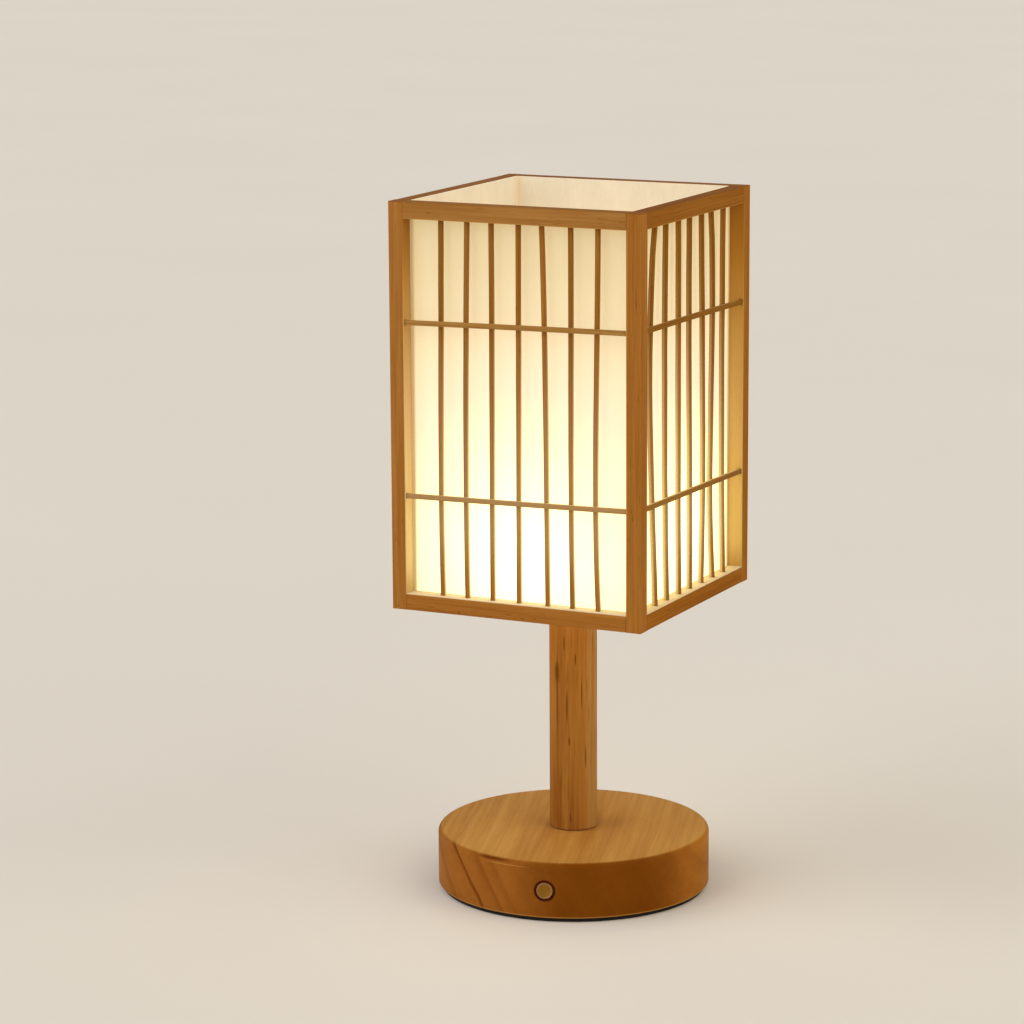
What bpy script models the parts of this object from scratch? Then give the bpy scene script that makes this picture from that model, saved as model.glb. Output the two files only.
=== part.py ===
"""Bamboo table lamp: turned base and post, square lattice shade, cordless light inside.

Lengths are in metres. The lamp stands on z = 0 with its axis on Z, the sides of the shade lie
along X and Y, and the front of the shade faces -Y. Pieces of the base are placed in a frame that
is turned about the axis, because the button stands a little to the right of the shade's front.
"""
import math

import bmesh
import bpy
from mathutils import Matrix, Vector

# Clearance between pieces that seat on, pass through or lie beside each other
FIT = 0.0003

# Base: turned wooden disc, hollow underneath
BASE_DIAMETER = 0.150
BASE_THICKNESS = 0.0308
BASE_TOP_ROUND = 0.0025
BASE_FOOT_ROUND = 0.0008
BASE_WALL = 0.015
BASE_TURN_DEG = 13.0
PAD_THICKNESS = 0.002
PAD_INSET = 0.002
COVER_THICKNESS = 0.002
COVER_LEDGE = 0.007
SPOT_FACE_DEPTH = 0.003
SPOT_FACE_MARGIN = 0.001

# Screws of the cover and of the control board
COVER_SCREW_COUNT = 4
COVER_SCREW_DIAMETER = 0.0028
COVER_SCREW_LENGTH = 0.012
COVER_SCREW_HEAD = 0.0052
COVER_SCREW_HEAD_HEIGHT = 0.001
BOARD_SCREW_DIAMETER = 0.002
BOARD_SCREW_HEAD = 0.0038
BOARD_SCREW_HEAD_HEIGHT = 0.0012
BOARD_SCREW_BITE = 0.002

# Rechargeable cell in its holder
CELL_DIAMETER = 0.0184
CELL_LENGTH = 0.065
CELL_EDGE = 0.0005
CELL_NUB_DIAMETER = 0.006
CELL_NUB_HEIGHT = 0.001
HOLDER_FLOOR = 0.0025
HOLDER_WALL = 0.0012
HOLDER_HEIGHT = 0.013
CONTACT_THICKNESS = 0.0006
CONTACT_WIDTH = 0.009
CONTACT_HEIGHT = 0.009

# Control board on two bosses under the top of the base
BOARD_WIDTH = 0.030
BOARD_LENGTH = 0.040
BOARD_THICKNESS = 0.0016
BOARD_SCREW_INSET = 0.004
BOSS_DIAMETER = 0.0066
BOSS_HEIGHT = 0.003
COIL_BLOCK_SIDE = 0.009
COIL_BLOCK_HEIGHT = 0.004
CHIP_BLOCK_SIDE = 0.007
CHIP_BLOCK_HEIGHT = 0.0012
BLOCK_OFFSET = 0.006
WASHER_MARGIN = 0.001

# Push button and its switch, along the radius of the base
BUTTON_HEIGHT = 0.0175
BUTTON_DIAMETER = 0.0092
BUTTON_PROUD = 0.0004
BUTTON_EDGE = 0.0005
BUTTON_CAP_DEPTH = 0.004
BUTTON_TRAVEL = 0.0012
BUTTON_STEM_DIAMETER = 0.0028
BARREL_WALL = 0.0004
BEZEL_LIP = 0.00035
BEZEL_DEPTH = 0.0012
SWITCH_WEB = 0.001
SWITCH_PLUG = 0.003
SWITCH_TAIL = 0.003
STEM_OVERRUN = 0.0015
BARREL_OVERRUN = 0.0015
SWITCH_NUT_FLATS = 0.013
SWITCH_NUT_HEIGHT = 0.0025
SPRING_WIRE = 0.0005
SPRING_LENGTH = 0.0045
SPRING_CURLS = 4

# Charging socket, opposite the button
PORT_WIDTH = 0.0086
PORT_HEIGHT = 0.0029
PORT_DEPTH = 0.007
PORT_WALL = 0.0013
PORT_BACK = 0.002
PORT_LIP = 0.0014
PORT_FLANGE_DEPTH = 0.0012
TONGUE_WIDTH = 0.0064
TONGUE_THICKNESS = 0.0007
TONGUE_LENGTH = 0.0048
PORT_NUT_FLATS = 0.014
PORT_NUT_HEIGHT = 0.0025

# Post with the hollow threaded tube that clamps base, post and shade together
POST_DIAMETER = 0.0262
POST_LENGTH = 0.1307
POST_EDGE_ROUND = 0.0006
TUBE_DIAMETER = 0.010
TUBE_BORE = 0.007
TUBE_END = 0.001
WASHER_DIAMETER = 0.020
WASHER_THICKNESS = 0.0012
NUT_FLATS = 0.014
NUT_HEIGHT = 0.003

# Wires: their lanes, and the grid on which their bends are laid out
WIRE_DIAMETER = 0.0014
WIRE_SPACING = 0.0028
TAIL_LANE = 0.0018
LANDING_SPREAD = 1.2
WIRE_GRID = 0.001

# Shade frame: four corner posts, rails between them, lattice of thin sticks
SHADE_WIDTH = 0.146
SHADE_HEIGHT = 0.220
FRAME_STOCK = 0.0085
TOP_RAIL_HEIGHT = 0.009
BOTTOM_RAIL_HEIGHT = 0.009
TENON_LENGTH = 0.004
TENON_THICKNESS = 0.003
TENON_SHOULDER = 0.0012
STICK = 0.0026
SLAT_WIDTH = 0.0023
STICK_SEAT = 0.002
STICK_LAP = 0.0002
SLAT_COUNT = 7
SLAT_PITCH = 0.0152
BAR_SETBACK = 0.0008
BAR_INSET = 0.054
CROSS_WIDTH = 0.020
CROSS_THICKNESS = 0.005

# Liner sheet and the light inside the shade
LINER_THICKNESS = 0.0006
LINER_FOLD_RADIUS = 0.0009
CUP_DIAMETER = 0.048
CUP_WALL = 0.0015
CUP_FLOOR = 0.002
CUP_LEDGE = 0.002
CUP_RIM = 0.0006
CUP_WIRE_SPACE = 0.003
LED_BOARD_THICKNESS = 0.0016
LED_SPOT_DIAMETER = 0.014
LED_SPOT_HEIGHT = 0.0005
DOME_HEIGHT = 0.026
DOME_WALL = 0.0015

# Segments round turned pieces, and how far a cutter reaches past a face
LARGE_STEPS = 48
SMALL_STEPS = 20
FINE_STEPS = 12
OVERSHOOT = 0.001

# Radii and heights that follow from the sizes above
base_r = BASE_DIAMETER / 2
pocket_r = base_r - BASE_WALL
cover_r = pocket_r + COVER_LEDGE
rabbet_r = cover_r + FIT
screw_circle_r = pocket_r + COVER_LEDGE / 2
tube_r = TUBE_DIAMETER / 2
tube_hole_r = tube_r + FIT

base_z = PAD_THICKNESS + FIT
base_top_z = base_z + BASE_THICKNESS
rabbet_z = base_z + COVER_THICKNESS + FIT
ceiling_z = rabbet_z + CELL_DIAMETER + HOLDER_FLOOR + 2 * FIT
base_washer_z = ceiling_z - FIT - WASHER_THICKNESS
base_nut_z = base_washer_z - FIT - NUT_HEIGHT
tube_z = base_nut_z - TUBE_END
board_top_z = ceiling_z - BOSS_HEIGHT - FIT
board_z = board_top_z - BOARD_THICKNESS
post_z = base_top_z + FIT
post_top_z = post_z + POST_LENGTH

shade_z = post_top_z + FIT
shade_top_z = shade_z + SHADE_HEIGHT
bottom_rail_top_z = shade_z + BOTTOM_RAIL_HEIGHT
top_rail_z = shade_top_z - TOP_RAIL_HEIGHT
cross_mid_z = shade_z + CROSS_THICKNESS / 2
cross_top_z = shade_z + CROSS_THICKNESS
shade_washer_z = cross_top_z + FIT
shade_nut_z = shade_washer_z + WASHER_THICKNESS + FIT
cup_z = shade_nut_z + NUT_HEIGHT + FIT
cup_nut_z = cup_z + CUP_FLOOR + FIT
tube_top_z = cup_nut_z + NUT_HEIGHT + TUBE_END
cup_ledge_z = tube_top_z + CUP_WIRE_SPACE
led_board_z = cup_ledge_z + FIT
cup_top_z = led_board_z + LED_BOARD_THICKNESS + CUP_RIM
dome_z = cup_top_z + FIT

half = SHADE_WIDTH / 2
inner = half - FRAME_STOCK
frame_y = FRAME_STOCK / 2 - half
bar_y = BAR_SETBACK + STICK / 2 - half
slat_y = bar_y + STICK - STICK_LAP
socket_side = STICK + 2 * FIT
lower_bar_z = bottom_rail_top_z + BAR_INSET
upper_bar_z = top_rail_z - BAR_INSET
slat_xs = [(i - (SLAT_COUNT - 1) / 2) * SLAT_PITCH for i in range(SLAT_COUNT)]

# Sizes of the panel switch: distances run inwards from the face of its bezel
button_bore_r = BUTTON_DIAMETER / 2 + FIT
barrel_r = button_bore_r + BARREL_WALL
bezel_r = barrel_r + BEZEL_LIP
button_face_y = math.sqrt(base_r ** 2 - bezel_r ** 2)
button_wall = button_face_y - pocket_r - SPOT_FACE_DEPTH
web_near = BUTTON_CAP_DEPTH + SPRING_LENGTH + 2 * FIT
web_far = web_near + SWITCH_WEB
barrel_end = max(button_wall + FIT + SWITCH_NUT_HEIGHT + BARREL_OVERRUN,
                 web_far + STEM_OVERRUN + BUTTON_TRAVEL + FIT + SWITCH_PLUG)
plug_near = barrel_end - SWITCH_PLUG
stem_end = plug_near - BUTTON_TRAVEL - FIT
stem_r = BUTTON_STEM_DIAMETER / 2
spring_r = (stem_r + button_bore_r) / 2

# Sizes of the charging socket, inwards from the face of its flange
port_barrel_r = PORT_WIDTH / 2 + PORT_WALL
port_flange_r = port_barrel_r + PORT_LIP
port_face_y = math.sqrt(base_r ** 2 - port_flange_r ** 2)
port_wall = port_face_y - pocket_r - SPOT_FACE_DEPTH
port_end = max(port_wall + FIT + PORT_NUT_HEIGHT + BARREL_OVERRUN, PORT_DEPTH + PORT_BACK)

# Places of the cell and the control board, left and right of the base washer
holder_width = CELL_DIAMETER + 2 * FIT + 2 * HOLDER_WALL
holder_inside = CELL_LENGTH + 2 * (CONTACT_THICKNESS + 2 * FIT)
holder_length = holder_inside + 2 * HOLDER_WALL
holder_top_z = ceiling_z - FIT
cell_x = WASHER_DIAMETER / 2 + WASHER_MARGIN + holder_width / 2
cell_z = holder_top_z - HOLDER_FLOOR - FIT - CELL_DIAMETER / 2
board_x = -(WASHER_DIAMETER / 2 + WASHER_MARGIN + BOARD_WIDTH / 2)
board_screw_y = BOARD_LENGTH / 2 - BOARD_SCREW_INSET

SIDES = ("front", "right", "back", "left")
CORNERS = ("front_left", "front_right", "back_right", "back_left")

# Finishes: sRGB colour, roughness, metallic
FINISHES = {
    "base_wood": ((176, 122, 62), 0.5, 0.0),
    "post_wood": ((170, 114, 56), 0.5, 0.0),
    "frame_wood": ((166, 110, 54), 0.5, 0.0),
    "stick_wood": ((168, 116, 62), 0.55, 0.0),
    "cross_wood": ((190, 144, 88), 0.6, 0.0),
    "liner_sheet": ((247, 233, 196), 0.6, 0.0),
    "black_foam": ((20, 19, 18), 0.9, 0.0),
    "black_steel": ((30, 29, 28), 0.5, 0.8),
    "dark_bronze": ((62, 30, 14), 0.4, 0.7),
    "brass": ((186, 134, 62), 0.35, 0.9),
    "steel": ((170, 170, 168), 0.35, 1.0),
    "black_plastic": ((24, 24, 26), 0.45, 0.0),
    "white_plastic": ((232, 230, 224), 0.45, 0.0),
    "milky_plastic": ((250, 244, 228), 0.4, 0.0),
    "board_green": ((32, 92, 56), 0.45, 0.0),
    "board_white": ((236, 236, 230), 0.5, 0.0),
    "cell_sleeve": ((38, 96, 150), 0.4, 0.0),
    "red_wire": ((176, 30, 26), 0.5, 0.0),
    "black_wire": ((22, 22, 22), 0.5, 0.0),
}


def clear_scene():
    """Remove every object that the file starts with."""
    for obj in list(bpy.data.objects):
        bpy.data.objects.remove(obj, do_unlink=True)


def collection(name):
    """Add a collection to the scene."""
    made = bpy.data.collections.new(name)
    bpy.context.scene.collection.children.link(made)
    return made


def linear(channel):
    """Convert one sRGB channel of 0 to 255 to a linear value."""
    value = channel / 255
    if value <= 0.04045:
        return value / 12.92
    return ((value + 0.055) / 1.055) ** 2.4


def paint(obj, finish):
    """Give an object a material of its own in one of the named finishes."""
    colour, roughness, metallic = FINISHES[finish]
    material = bpy.data.materials.new(obj.name + "_finish")
    material.use_nodes = True
    shader = material.node_tree.nodes["Principled BSDF"]
    shader.inputs["Base Color"].default_value = [linear(c) for c in colour] + [1.0]
    shader.inputs["Roughness"].default_value = roughness
    shader.inputs["Metallic"].default_value = metallic
    obj.data.materials.append(material)


def part(name, data, finish, parent=None, location=(0, 0, 0), rotation=(0, 0, 0)):
    """Place a mesh or curve as one named piece of the lamp."""
    obj = bpy.data.objects.new(name, data)
    PARTS.objects.link(obj)
    obj.parent = parent
    obj.location = location
    obj.rotation_euler = rotation
    paint(obj, finish)
    return obj


def helper(name, data, parent=None, location=(0, 0, 0), rotation=(0, 0, 0)):
    """Place a mesh or curve that only cuts or joins a piece."""
    obj = bpy.data.objects.new(name, data)
    CUTTERS.objects.link(obj)
    obj.parent = parent
    obj.location = location
    obj.rotation_euler = rotation
    obj.hide_render = True
    obj.display_type = "WIRE"
    return obj


def frame_empty(name, turn):
    """Add an empty on the lamp's axis, turned about it, to carry a group of pieces."""
    empty = bpy.data.objects.new(name, None)
    PARTS.objects.link(empty)
    empty.rotation_euler = (0, 0, turn)
    return empty


def combine(target, operand, operation):
    """Cut or join a piece with a helper."""
    modifier = target.modifiers.new(operation.lower(), "BOOLEAN")
    modifier.operation = operation
    modifier.object = operand
    modifier.solver = "EXACT"


def boxes(name, blocks):
    """Mesh of separate boxes, each from its lowest to its highest corner."""
    mesh = bpy.data.meshes.new(name)
    bm = bmesh.new()
    for low, high in blocks:
        size = [b - a for a, b in zip(low, high)]
        centre = [(a + b) / 2 for a, b in zip(low, high)]
        matrix = Matrix.Translation(centre) @ Matrix.Diagonal(size + [1.0])
        bmesh.ops.create_cube(bm, size=1.0, matrix=matrix)
    bm.to_mesh(mesh)
    bm.free()
    return mesh


def rods(name, stubs, steps):
    """Mesh of separate upright cylinders, each given as (x, y, low z, high z, radius)."""
    mesh = bpy.data.meshes.new(name)
    bm = bmesh.new()
    for x, y, low, high, radius in stubs:
        matrix = Matrix.Translation((x, y, (low + high) / 2))
        bmesh.ops.create_cone(bm, cap_ends=True, segments=steps, radius1=radius,
                              radius2=radius, depth=high - low, matrix=matrix)
    bm.to_mesh(mesh)
    bm.free()
    return mesh


def profile_mesh(name, profile, closed):
    """Mesh of the edges of a turned profile, given as (radius, height) points."""
    mesh = bpy.data.meshes.new(name)
    points = [(r, 0, z) for r, z in profile]
    edges = [(i, i + 1) for i in range(len(points) - 1)]
    if closed:
        edges.append((len(points) - 1, 0))
    mesh.from_pydata(points, edges, [])
    return mesh


def spin(obj, steps):
    """Turn a profile about its own Z axis."""
    modifier = obj.modifiers.new("turn", "SCREW")
    modifier.steps = steps
    modifier.render_steps = steps
    modifier.use_merge_vertices = True
    modifier.merge_threshold = 0.000001
    modifier.use_smooth_shade = True
    return obj


def turned(name, profile, finish, steps, closed=True, **place):
    """Turned piece: a profile that runs down its outer side, with a Screw modifier."""
    return spin(part(name, profile_mesh(name, profile, closed), finish, **place), steps)


def turned_cutter(name, profile, steps, **place):
    """Turned helper, closed on its axis."""
    return spin(helper(name, profile_mesh(name, profile, False), **place), steps)


def arc(centre_r, centre_z, radius, start_deg, end_deg, count):
    """Points of an arc in a turned profile, from one angle to another."""
    points = []
    for i in range(count + 1):
        angle = math.radians(start_deg + (end_deg - start_deg) * i / count)
        points.append((centre_r + radius * math.cos(angle), centre_z + radius * math.sin(angle)))
    return points


def outline_curve(name, loops, thickness):
    """Flat 2D curve filled between its loops, with its thickness centred on its plane."""
    curve = bpy.data.curves.new(name, "CURVE")
    curve.dimensions = "2D"
    curve.fill_mode = "BOTH"
    curve.extrude = thickness / 2
    for loop in loops:
        spline = curve.splines.new("POLY")
        spline.points.add(len(loop) - 1)
        for point, (x, y) in zip(spline.points, loop):
            point.co = (x, y, 0, 1)
        spline.use_cyclic_u = True
    return curve


def circle(radius, steps, start=0.0):
    """Corners of a regular polygon."""
    angles = [start + 2 * math.pi * i / steps for i in range(steps)]
    return [(radius * math.cos(a), radius * math.sin(a)) for a in angles]


def rounded_box(width, height, radius, count=3):
    """Corners of a rectangle with round corners."""
    points = []
    for quarter in range(4):
        side_x = 1 if quarter in (0, 3) else -1
        side_y = 1 if quarter in (0, 1) else -1
        for i in range(count + 1):
            angle = math.pi / 2 * (quarter + i / count)
            points.append((side_x * (width / 2 - radius) + radius * math.cos(angle),
                           side_y * (height / 2 - radius) + radius * math.sin(angle)))
    return points


def hex_nut(name, flats, height, hole_r, finish, **place):
    """Hexagon nut centred on its own plane."""
    loops = [circle(flats / math.sqrt(3), 6), circle(hole_r, FINE_STEPS)]
    return part(name, outline_curve(name, loops, height), finish, **place)


def settled_mesh(obj, helpers=()):
    """Mesh of an object with its modifiers worked in; the object and its helpers go."""
    bpy.context.view_layer.update()
    evaluated = obj.evaluated_get(bpy.context.evaluated_depsgraph_get())
    mesh = bpy.data.meshes.new_from_object(evaluated)
    bm = bmesh.new()
    bm.from_mesh(mesh)
    bmesh.ops.remove_doubles(bm, verts=bm.verts, dist=0.000001)
    bm.to_mesh(mesh)
    bm.free()
    mesh.materials.clear()
    for spent in (obj, *helpers):
        bpy.data.objects.remove(spent, do_unlink=True)
    return mesh


def smooth_route(points, samples=4):
    """Points of a smooth curve through the points of a wire's route."""
    knots = [Vector(p) for p in points]
    knots = [2 * knots[0] - knots[1]] + knots + [2 * knots[-1] - knots[-2]]
    route = []
    for a, b, c, d in zip(knots, knots[1:], knots[2:], knots[3:]):
        for i in range(samples):
            t = i / samples
            route.append(0.5 * (2 * b + (c - a) * t + (2 * a - 5 * b + 4 * c - d) * t ** 2
                                + (3 * b - a - 3 * c + d) * t ** 3))
    route.append(knots[-2])
    return route


def tube_curve(name, points, diameter, resolution=1):
    """Round wire along a list of points, with closed ends."""
    curve = bpy.data.curves.new(name, "CURVE")
    curve.dimensions = "3D"
    curve.bevel_depth = diameter / 2
    curve.bevel_resolution = resolution
    curve.use_fill_caps = True
    spline = curve.splines.new("POLY")
    spline.points.add(len(points) - 1)
    for point, place in zip(spline.points, points):
        point.co = (*place, 1)
    return curve


def base_profile():
    """Section of the base: top, rounded rim, foot, cover rabbet, pocket and tube hole."""
    points = [(tube_hole_r, base_top_z)]
    points += arc(base_r - BASE_TOP_ROUND, base_top_z - BASE_TOP_ROUND, BASE_TOP_ROUND, 90, 0, 4)
    points += arc(base_r - BASE_FOOT_ROUND, base_z + BASE_FOOT_ROUND, BASE_FOOT_ROUND, 0, -90, 2)
    points += [(rabbet_r, base_z), (rabbet_r, rabbet_z), (pocket_r, rabbet_z),
               (pocket_r, ceiling_z), (tube_hole_r, ceiling_z)]
    return points


def panel_bore(name, flange_r, flange_depth, barrel_radius, wall, location, rotation, parent):
    """Stepped cutter for a flanged barrel that is put in from outside the base."""
    profile = [(0, OVERSHOOT), (flange_r + FIT, OVERSHOOT), (flange_r + FIT, -flange_depth - FIT),
               (barrel_radius + FIT, -flange_depth - FIT), (barrel_radius + FIT, -wall - OVERSHOOT),
               (0, -wall - OVERSHOOT)]
    return turned_cutter(name, profile, SMALL_STEPS, location=location, rotation=rotation,
                         parent=parent)


def cover_screw_places():
    """Centres of the cover screws, midway between the button and the socket."""
    angles = [2 * math.pi * (i + 0.5) / COVER_SCREW_COUNT for i in range(COVER_SCREW_COUNT)]
    return [(screw_circle_r * math.cos(a), screw_circle_r * math.sin(a)) for a in angles]


def build_base(base):
    """Wooden base with its foot pad, bottom cover and cover screws."""
    disc = turned("base_disc", base_profile(), "base_wood", LARGE_STEPS, parent=base)

    boss_places = [(board_x, -board_screw_y), (board_x, board_screw_y)]
    bosses = [(x, y, ceiling_z - BOSS_HEIGHT, ceiling_z + OVERSHOOT, BOSS_DIAMETER / 2)
              for x, y in boss_places]
    combine(disc, helper("board_bosses", rods("board_bosses", bosses, FINE_STEPS), base), "UNION")

    spots = []
    for side, flats in ((-1, SWITCH_NUT_FLATS), (1, PORT_NUT_FLATS)):
        reach = flats / math.sqrt(3) + SPOT_FACE_MARGIN
        near = side * (pocket_r - reach)
        far = side * (pocket_r + SPOT_FACE_DEPTH)
        spots.append(((-reach, min(near, far), rabbet_z - OVERSHOOT),
                      (reach, max(near, far), ceiling_z - FIT)))
    combine(disc, helper("spot_faces", boxes("spot_faces", spots), base), "DIFFERENCE")

    button_bore = panel_bore("button_bore", bezel_r, BEZEL_DEPTH, barrel_r, button_wall,
                             (0, -button_face_y, BUTTON_HEIGHT), (math.pi / 2, 0, 0), base)
    combine(disc, button_bore, "DIFFERENCE")
    port_bore = panel_bore("port_bore", port_flange_r, PORT_FLANGE_DEPTH, port_barrel_r, port_wall,
                           (0, port_face_y, BUTTON_HEIGHT), (-math.pi / 2, 0, 0), base)
    combine(disc, port_bore, "DIFFERENCE")

    head_z = base_z + FIT
    shank_z = head_z + COVER_SCREW_HEAD_HEIGHT
    tip_z = shank_z + COVER_SCREW_LENGTH
    shank_hole_r = COVER_SCREW_DIAMETER / 2 + FIT
    pilots = [(x, y, rabbet_z - OVERSHOOT, tip_z + FIT, shank_hole_r)
              for x, y in cover_screw_places()]
    pilots += [(x, y, ceiling_z - BOSS_HEIGHT - OVERSHOOT, ceiling_z + BOARD_SCREW_BITE + FIT,
                BOARD_SCREW_DIAMETER / 2 + FIT) for x, y in boss_places]
    combine(disc, helper("pilot_holes", rods("pilot_holes", pilots, FINE_STEPS), base),
            "DIFFERENCE")

    pad_r = base_r - PAD_INSET
    turned("foot_pad", [(pad_r, PAD_THICKNESS), (pad_r, 0), (rabbet_r, 0),
                        (rabbet_r, PAD_THICKNESS)], "black_foam", LARGE_STEPS, parent=base)

    cover = turned("bottom_cover", [(0, rabbet_z - FIT), (cover_r, rabbet_z - FIT),
                                    (cover_r, base_z), (0, base_z)], "black_steel",
                   LARGE_STEPS, closed=False, parent=base)
    holes = [(x, y, base_z - OVERSHOOT, rabbet_z + OVERSHOOT, shank_hole_r)
             for x, y in cover_screw_places()]
    combine(cover, helper("cover_holes", rods("cover_holes", holes, FINE_STEPS), base),
            "DIFFERENCE")
    recesses = [(x, y, base_z - OVERSHOOT, shank_z + FIT, COVER_SCREW_HEAD / 2 + FIT)
                for x, y in cover_screw_places()]
    combine(cover, helper("head_recesses", rods("head_recesses", recesses, FINE_STEPS), base),
            "DIFFERENCE")

    shank_r = COVER_SCREW_DIAMETER / 2
    screw = [(0, tip_z), (shank_r, tip_z - shank_r), (shank_r, shank_z),
             (COVER_SCREW_HEAD / 2, shank_z), (COVER_SCREW_HEAD / 2, head_z), (0, head_z)]
    for number, (x, y) in enumerate(cover_screw_places(), 1):
        turned("cover_screw_%d" % number, screw, "steel", FINE_STEPS, closed=False,
               parent=base, location=(x, y, 0))


def build_switch(base):
    """Push button in its bezel, with return spring, nut and contact block."""
    place = dict(parent=base, location=(0, -button_face_y, BUTTON_HEIGHT),
                 rotation=(math.pi / 2, 0, 0))
    housing = [(bezel_r, 0), (bezel_r, -BEZEL_DEPTH), (barrel_r, -BEZEL_DEPTH),
               (barrel_r, -barrel_end), (button_bore_r, -barrel_end), (button_bore_r, -web_far),
               (stem_r + FIT, -web_far), (stem_r + FIT, -web_near), (button_bore_r, -web_near),
               (button_bore_r, 0)]
    turned("button_bezel", housing, "dark_bronze", SMALL_STEPS, **place)

    cap_r = BUTTON_DIAMETER / 2
    cap = [(0, BUTTON_PROUD), (cap_r - BUTTON_EDGE, BUTTON_PROUD),
           (cap_r, BUTTON_PROUD - BUTTON_EDGE), (cap_r, -BUTTON_CAP_DEPTH),
           (stem_r, -BUTTON_CAP_DEPTH), (stem_r, -stem_end), (0, -stem_end)]
    turned("power_button", cap, "brass", SMALL_STEPS, closed=False, **place)

    coil = spring_points()
    part("button_spring", tube_curve("button_spring", coil, SPRING_WIRE), "steel", **place)
    print("least gap of button_spring to itself: %.2f mm" % (1000 * spring_gap(coil)))

    nut_mid = button_face_y - button_wall - FIT - SWITCH_NUT_HEIGHT / 2
    hex_nut("switch_nut", SWITCH_NUT_FLATS, SWITCH_NUT_HEIGHT, barrel_r + FIT, "steel",
            parent=base, location=(0, -nut_mid, BUTTON_HEIGHT), rotation=(math.pi / 2, 0, 0))

    plug_r = button_bore_r - FIT
    tail_near = barrel_end + FIT
    block = [(0, -plug_near), (plug_r, -plug_near), (plug_r, -tail_near), (barrel_r, -tail_near),
             (barrel_r, -tail_near - SWITCH_TAIL), (0, -tail_near - SWITCH_TAIL)]
    turned("switch_contact_block", block, "black_plastic", SMALL_STEPS, closed=False, **place)


def spring_points():
    """Points of the return spring's curls, from behind the cap to the web of the housing."""
    turns = SPRING_CURLS
    points_per_curl = 10
    start = BUTTON_CAP_DEPTH + FIT + SPRING_WIRE / 2
    end = web_near - FIT - SPRING_WIRE / 2
    points = []
    for i in range(turns * points_per_curl + 1):
        share = i / (turns * points_per_curl)
        angle = 2 * math.pi * turns * share
        points.append((spring_r * math.cos(angle), spring_r * math.sin(angle),
                       -(start + (end - start) * share)))
    return points


def spring_gap(points):
    """Least free distance between stretches of the spring at least half a curl apart."""
    least = min(math.dist(a, b) for i, a in enumerate(points) for b in points[i + 6:])
    return least - SPRING_WIRE


def build_charging_socket(base):
    """Flanged charging socket with its nut and contact tongue."""
    place = dict(parent=base, location=(0, port_face_y, BUTTON_HEIGHT),
                 rotation=(-math.pi / 2, 0, 0))
    body = [(0, 0), (port_flange_r, 0), (port_flange_r, -PORT_FLANGE_DEPTH),
            (port_barrel_r, -PORT_FLANGE_DEPTH), (port_barrel_r, -port_end), (0, -port_end)]
    socket = turned("charging_socket", body, "black_plastic", SMALL_STEPS, closed=False, **place)
    mouth = rounded_box(PORT_WIDTH, PORT_HEIGHT, PORT_HEIGHT / 2 - FIT)
    depth = PORT_DEPTH + OVERSHOOT
    slot_curve = helper("port_slot_curve", outline_curve("port_slot", [mouth], depth))
    slot = helper("port_slot", settled_mesh(slot_curve), base)
    slot.rotation_euler = (-math.pi / 2, 0, 0)
    slot.location = (0, port_face_y - (PORT_DEPTH - OVERSHOOT) / 2, BUTTON_HEIGHT)
    combine(socket, slot, "DIFFERENCE")

    tongue_far = port_face_y - PORT_DEPTH + FIT
    tongue = boxes("charging_tongue", [
        ((-TONGUE_WIDTH / 2, tongue_far, BUTTON_HEIGHT - TONGUE_THICKNESS / 2),
         (TONGUE_WIDTH / 2, tongue_far + TONGUE_LENGTH, BUTTON_HEIGHT + TONGUE_THICKNESS / 2))])
    part("charging_tongue", tongue, "black_plastic", parent=base)

    nut_mid = port_face_y - port_wall - FIT - PORT_NUT_HEIGHT / 2
    hex_nut("charging_socket_nut", PORT_NUT_FLATS, PORT_NUT_HEIGHT, port_barrel_r + FIT, "steel",
            parent=base, location=(0, nut_mid, BUTTON_HEIGHT), rotation=(-math.pi / 2, 0, 0))


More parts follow.
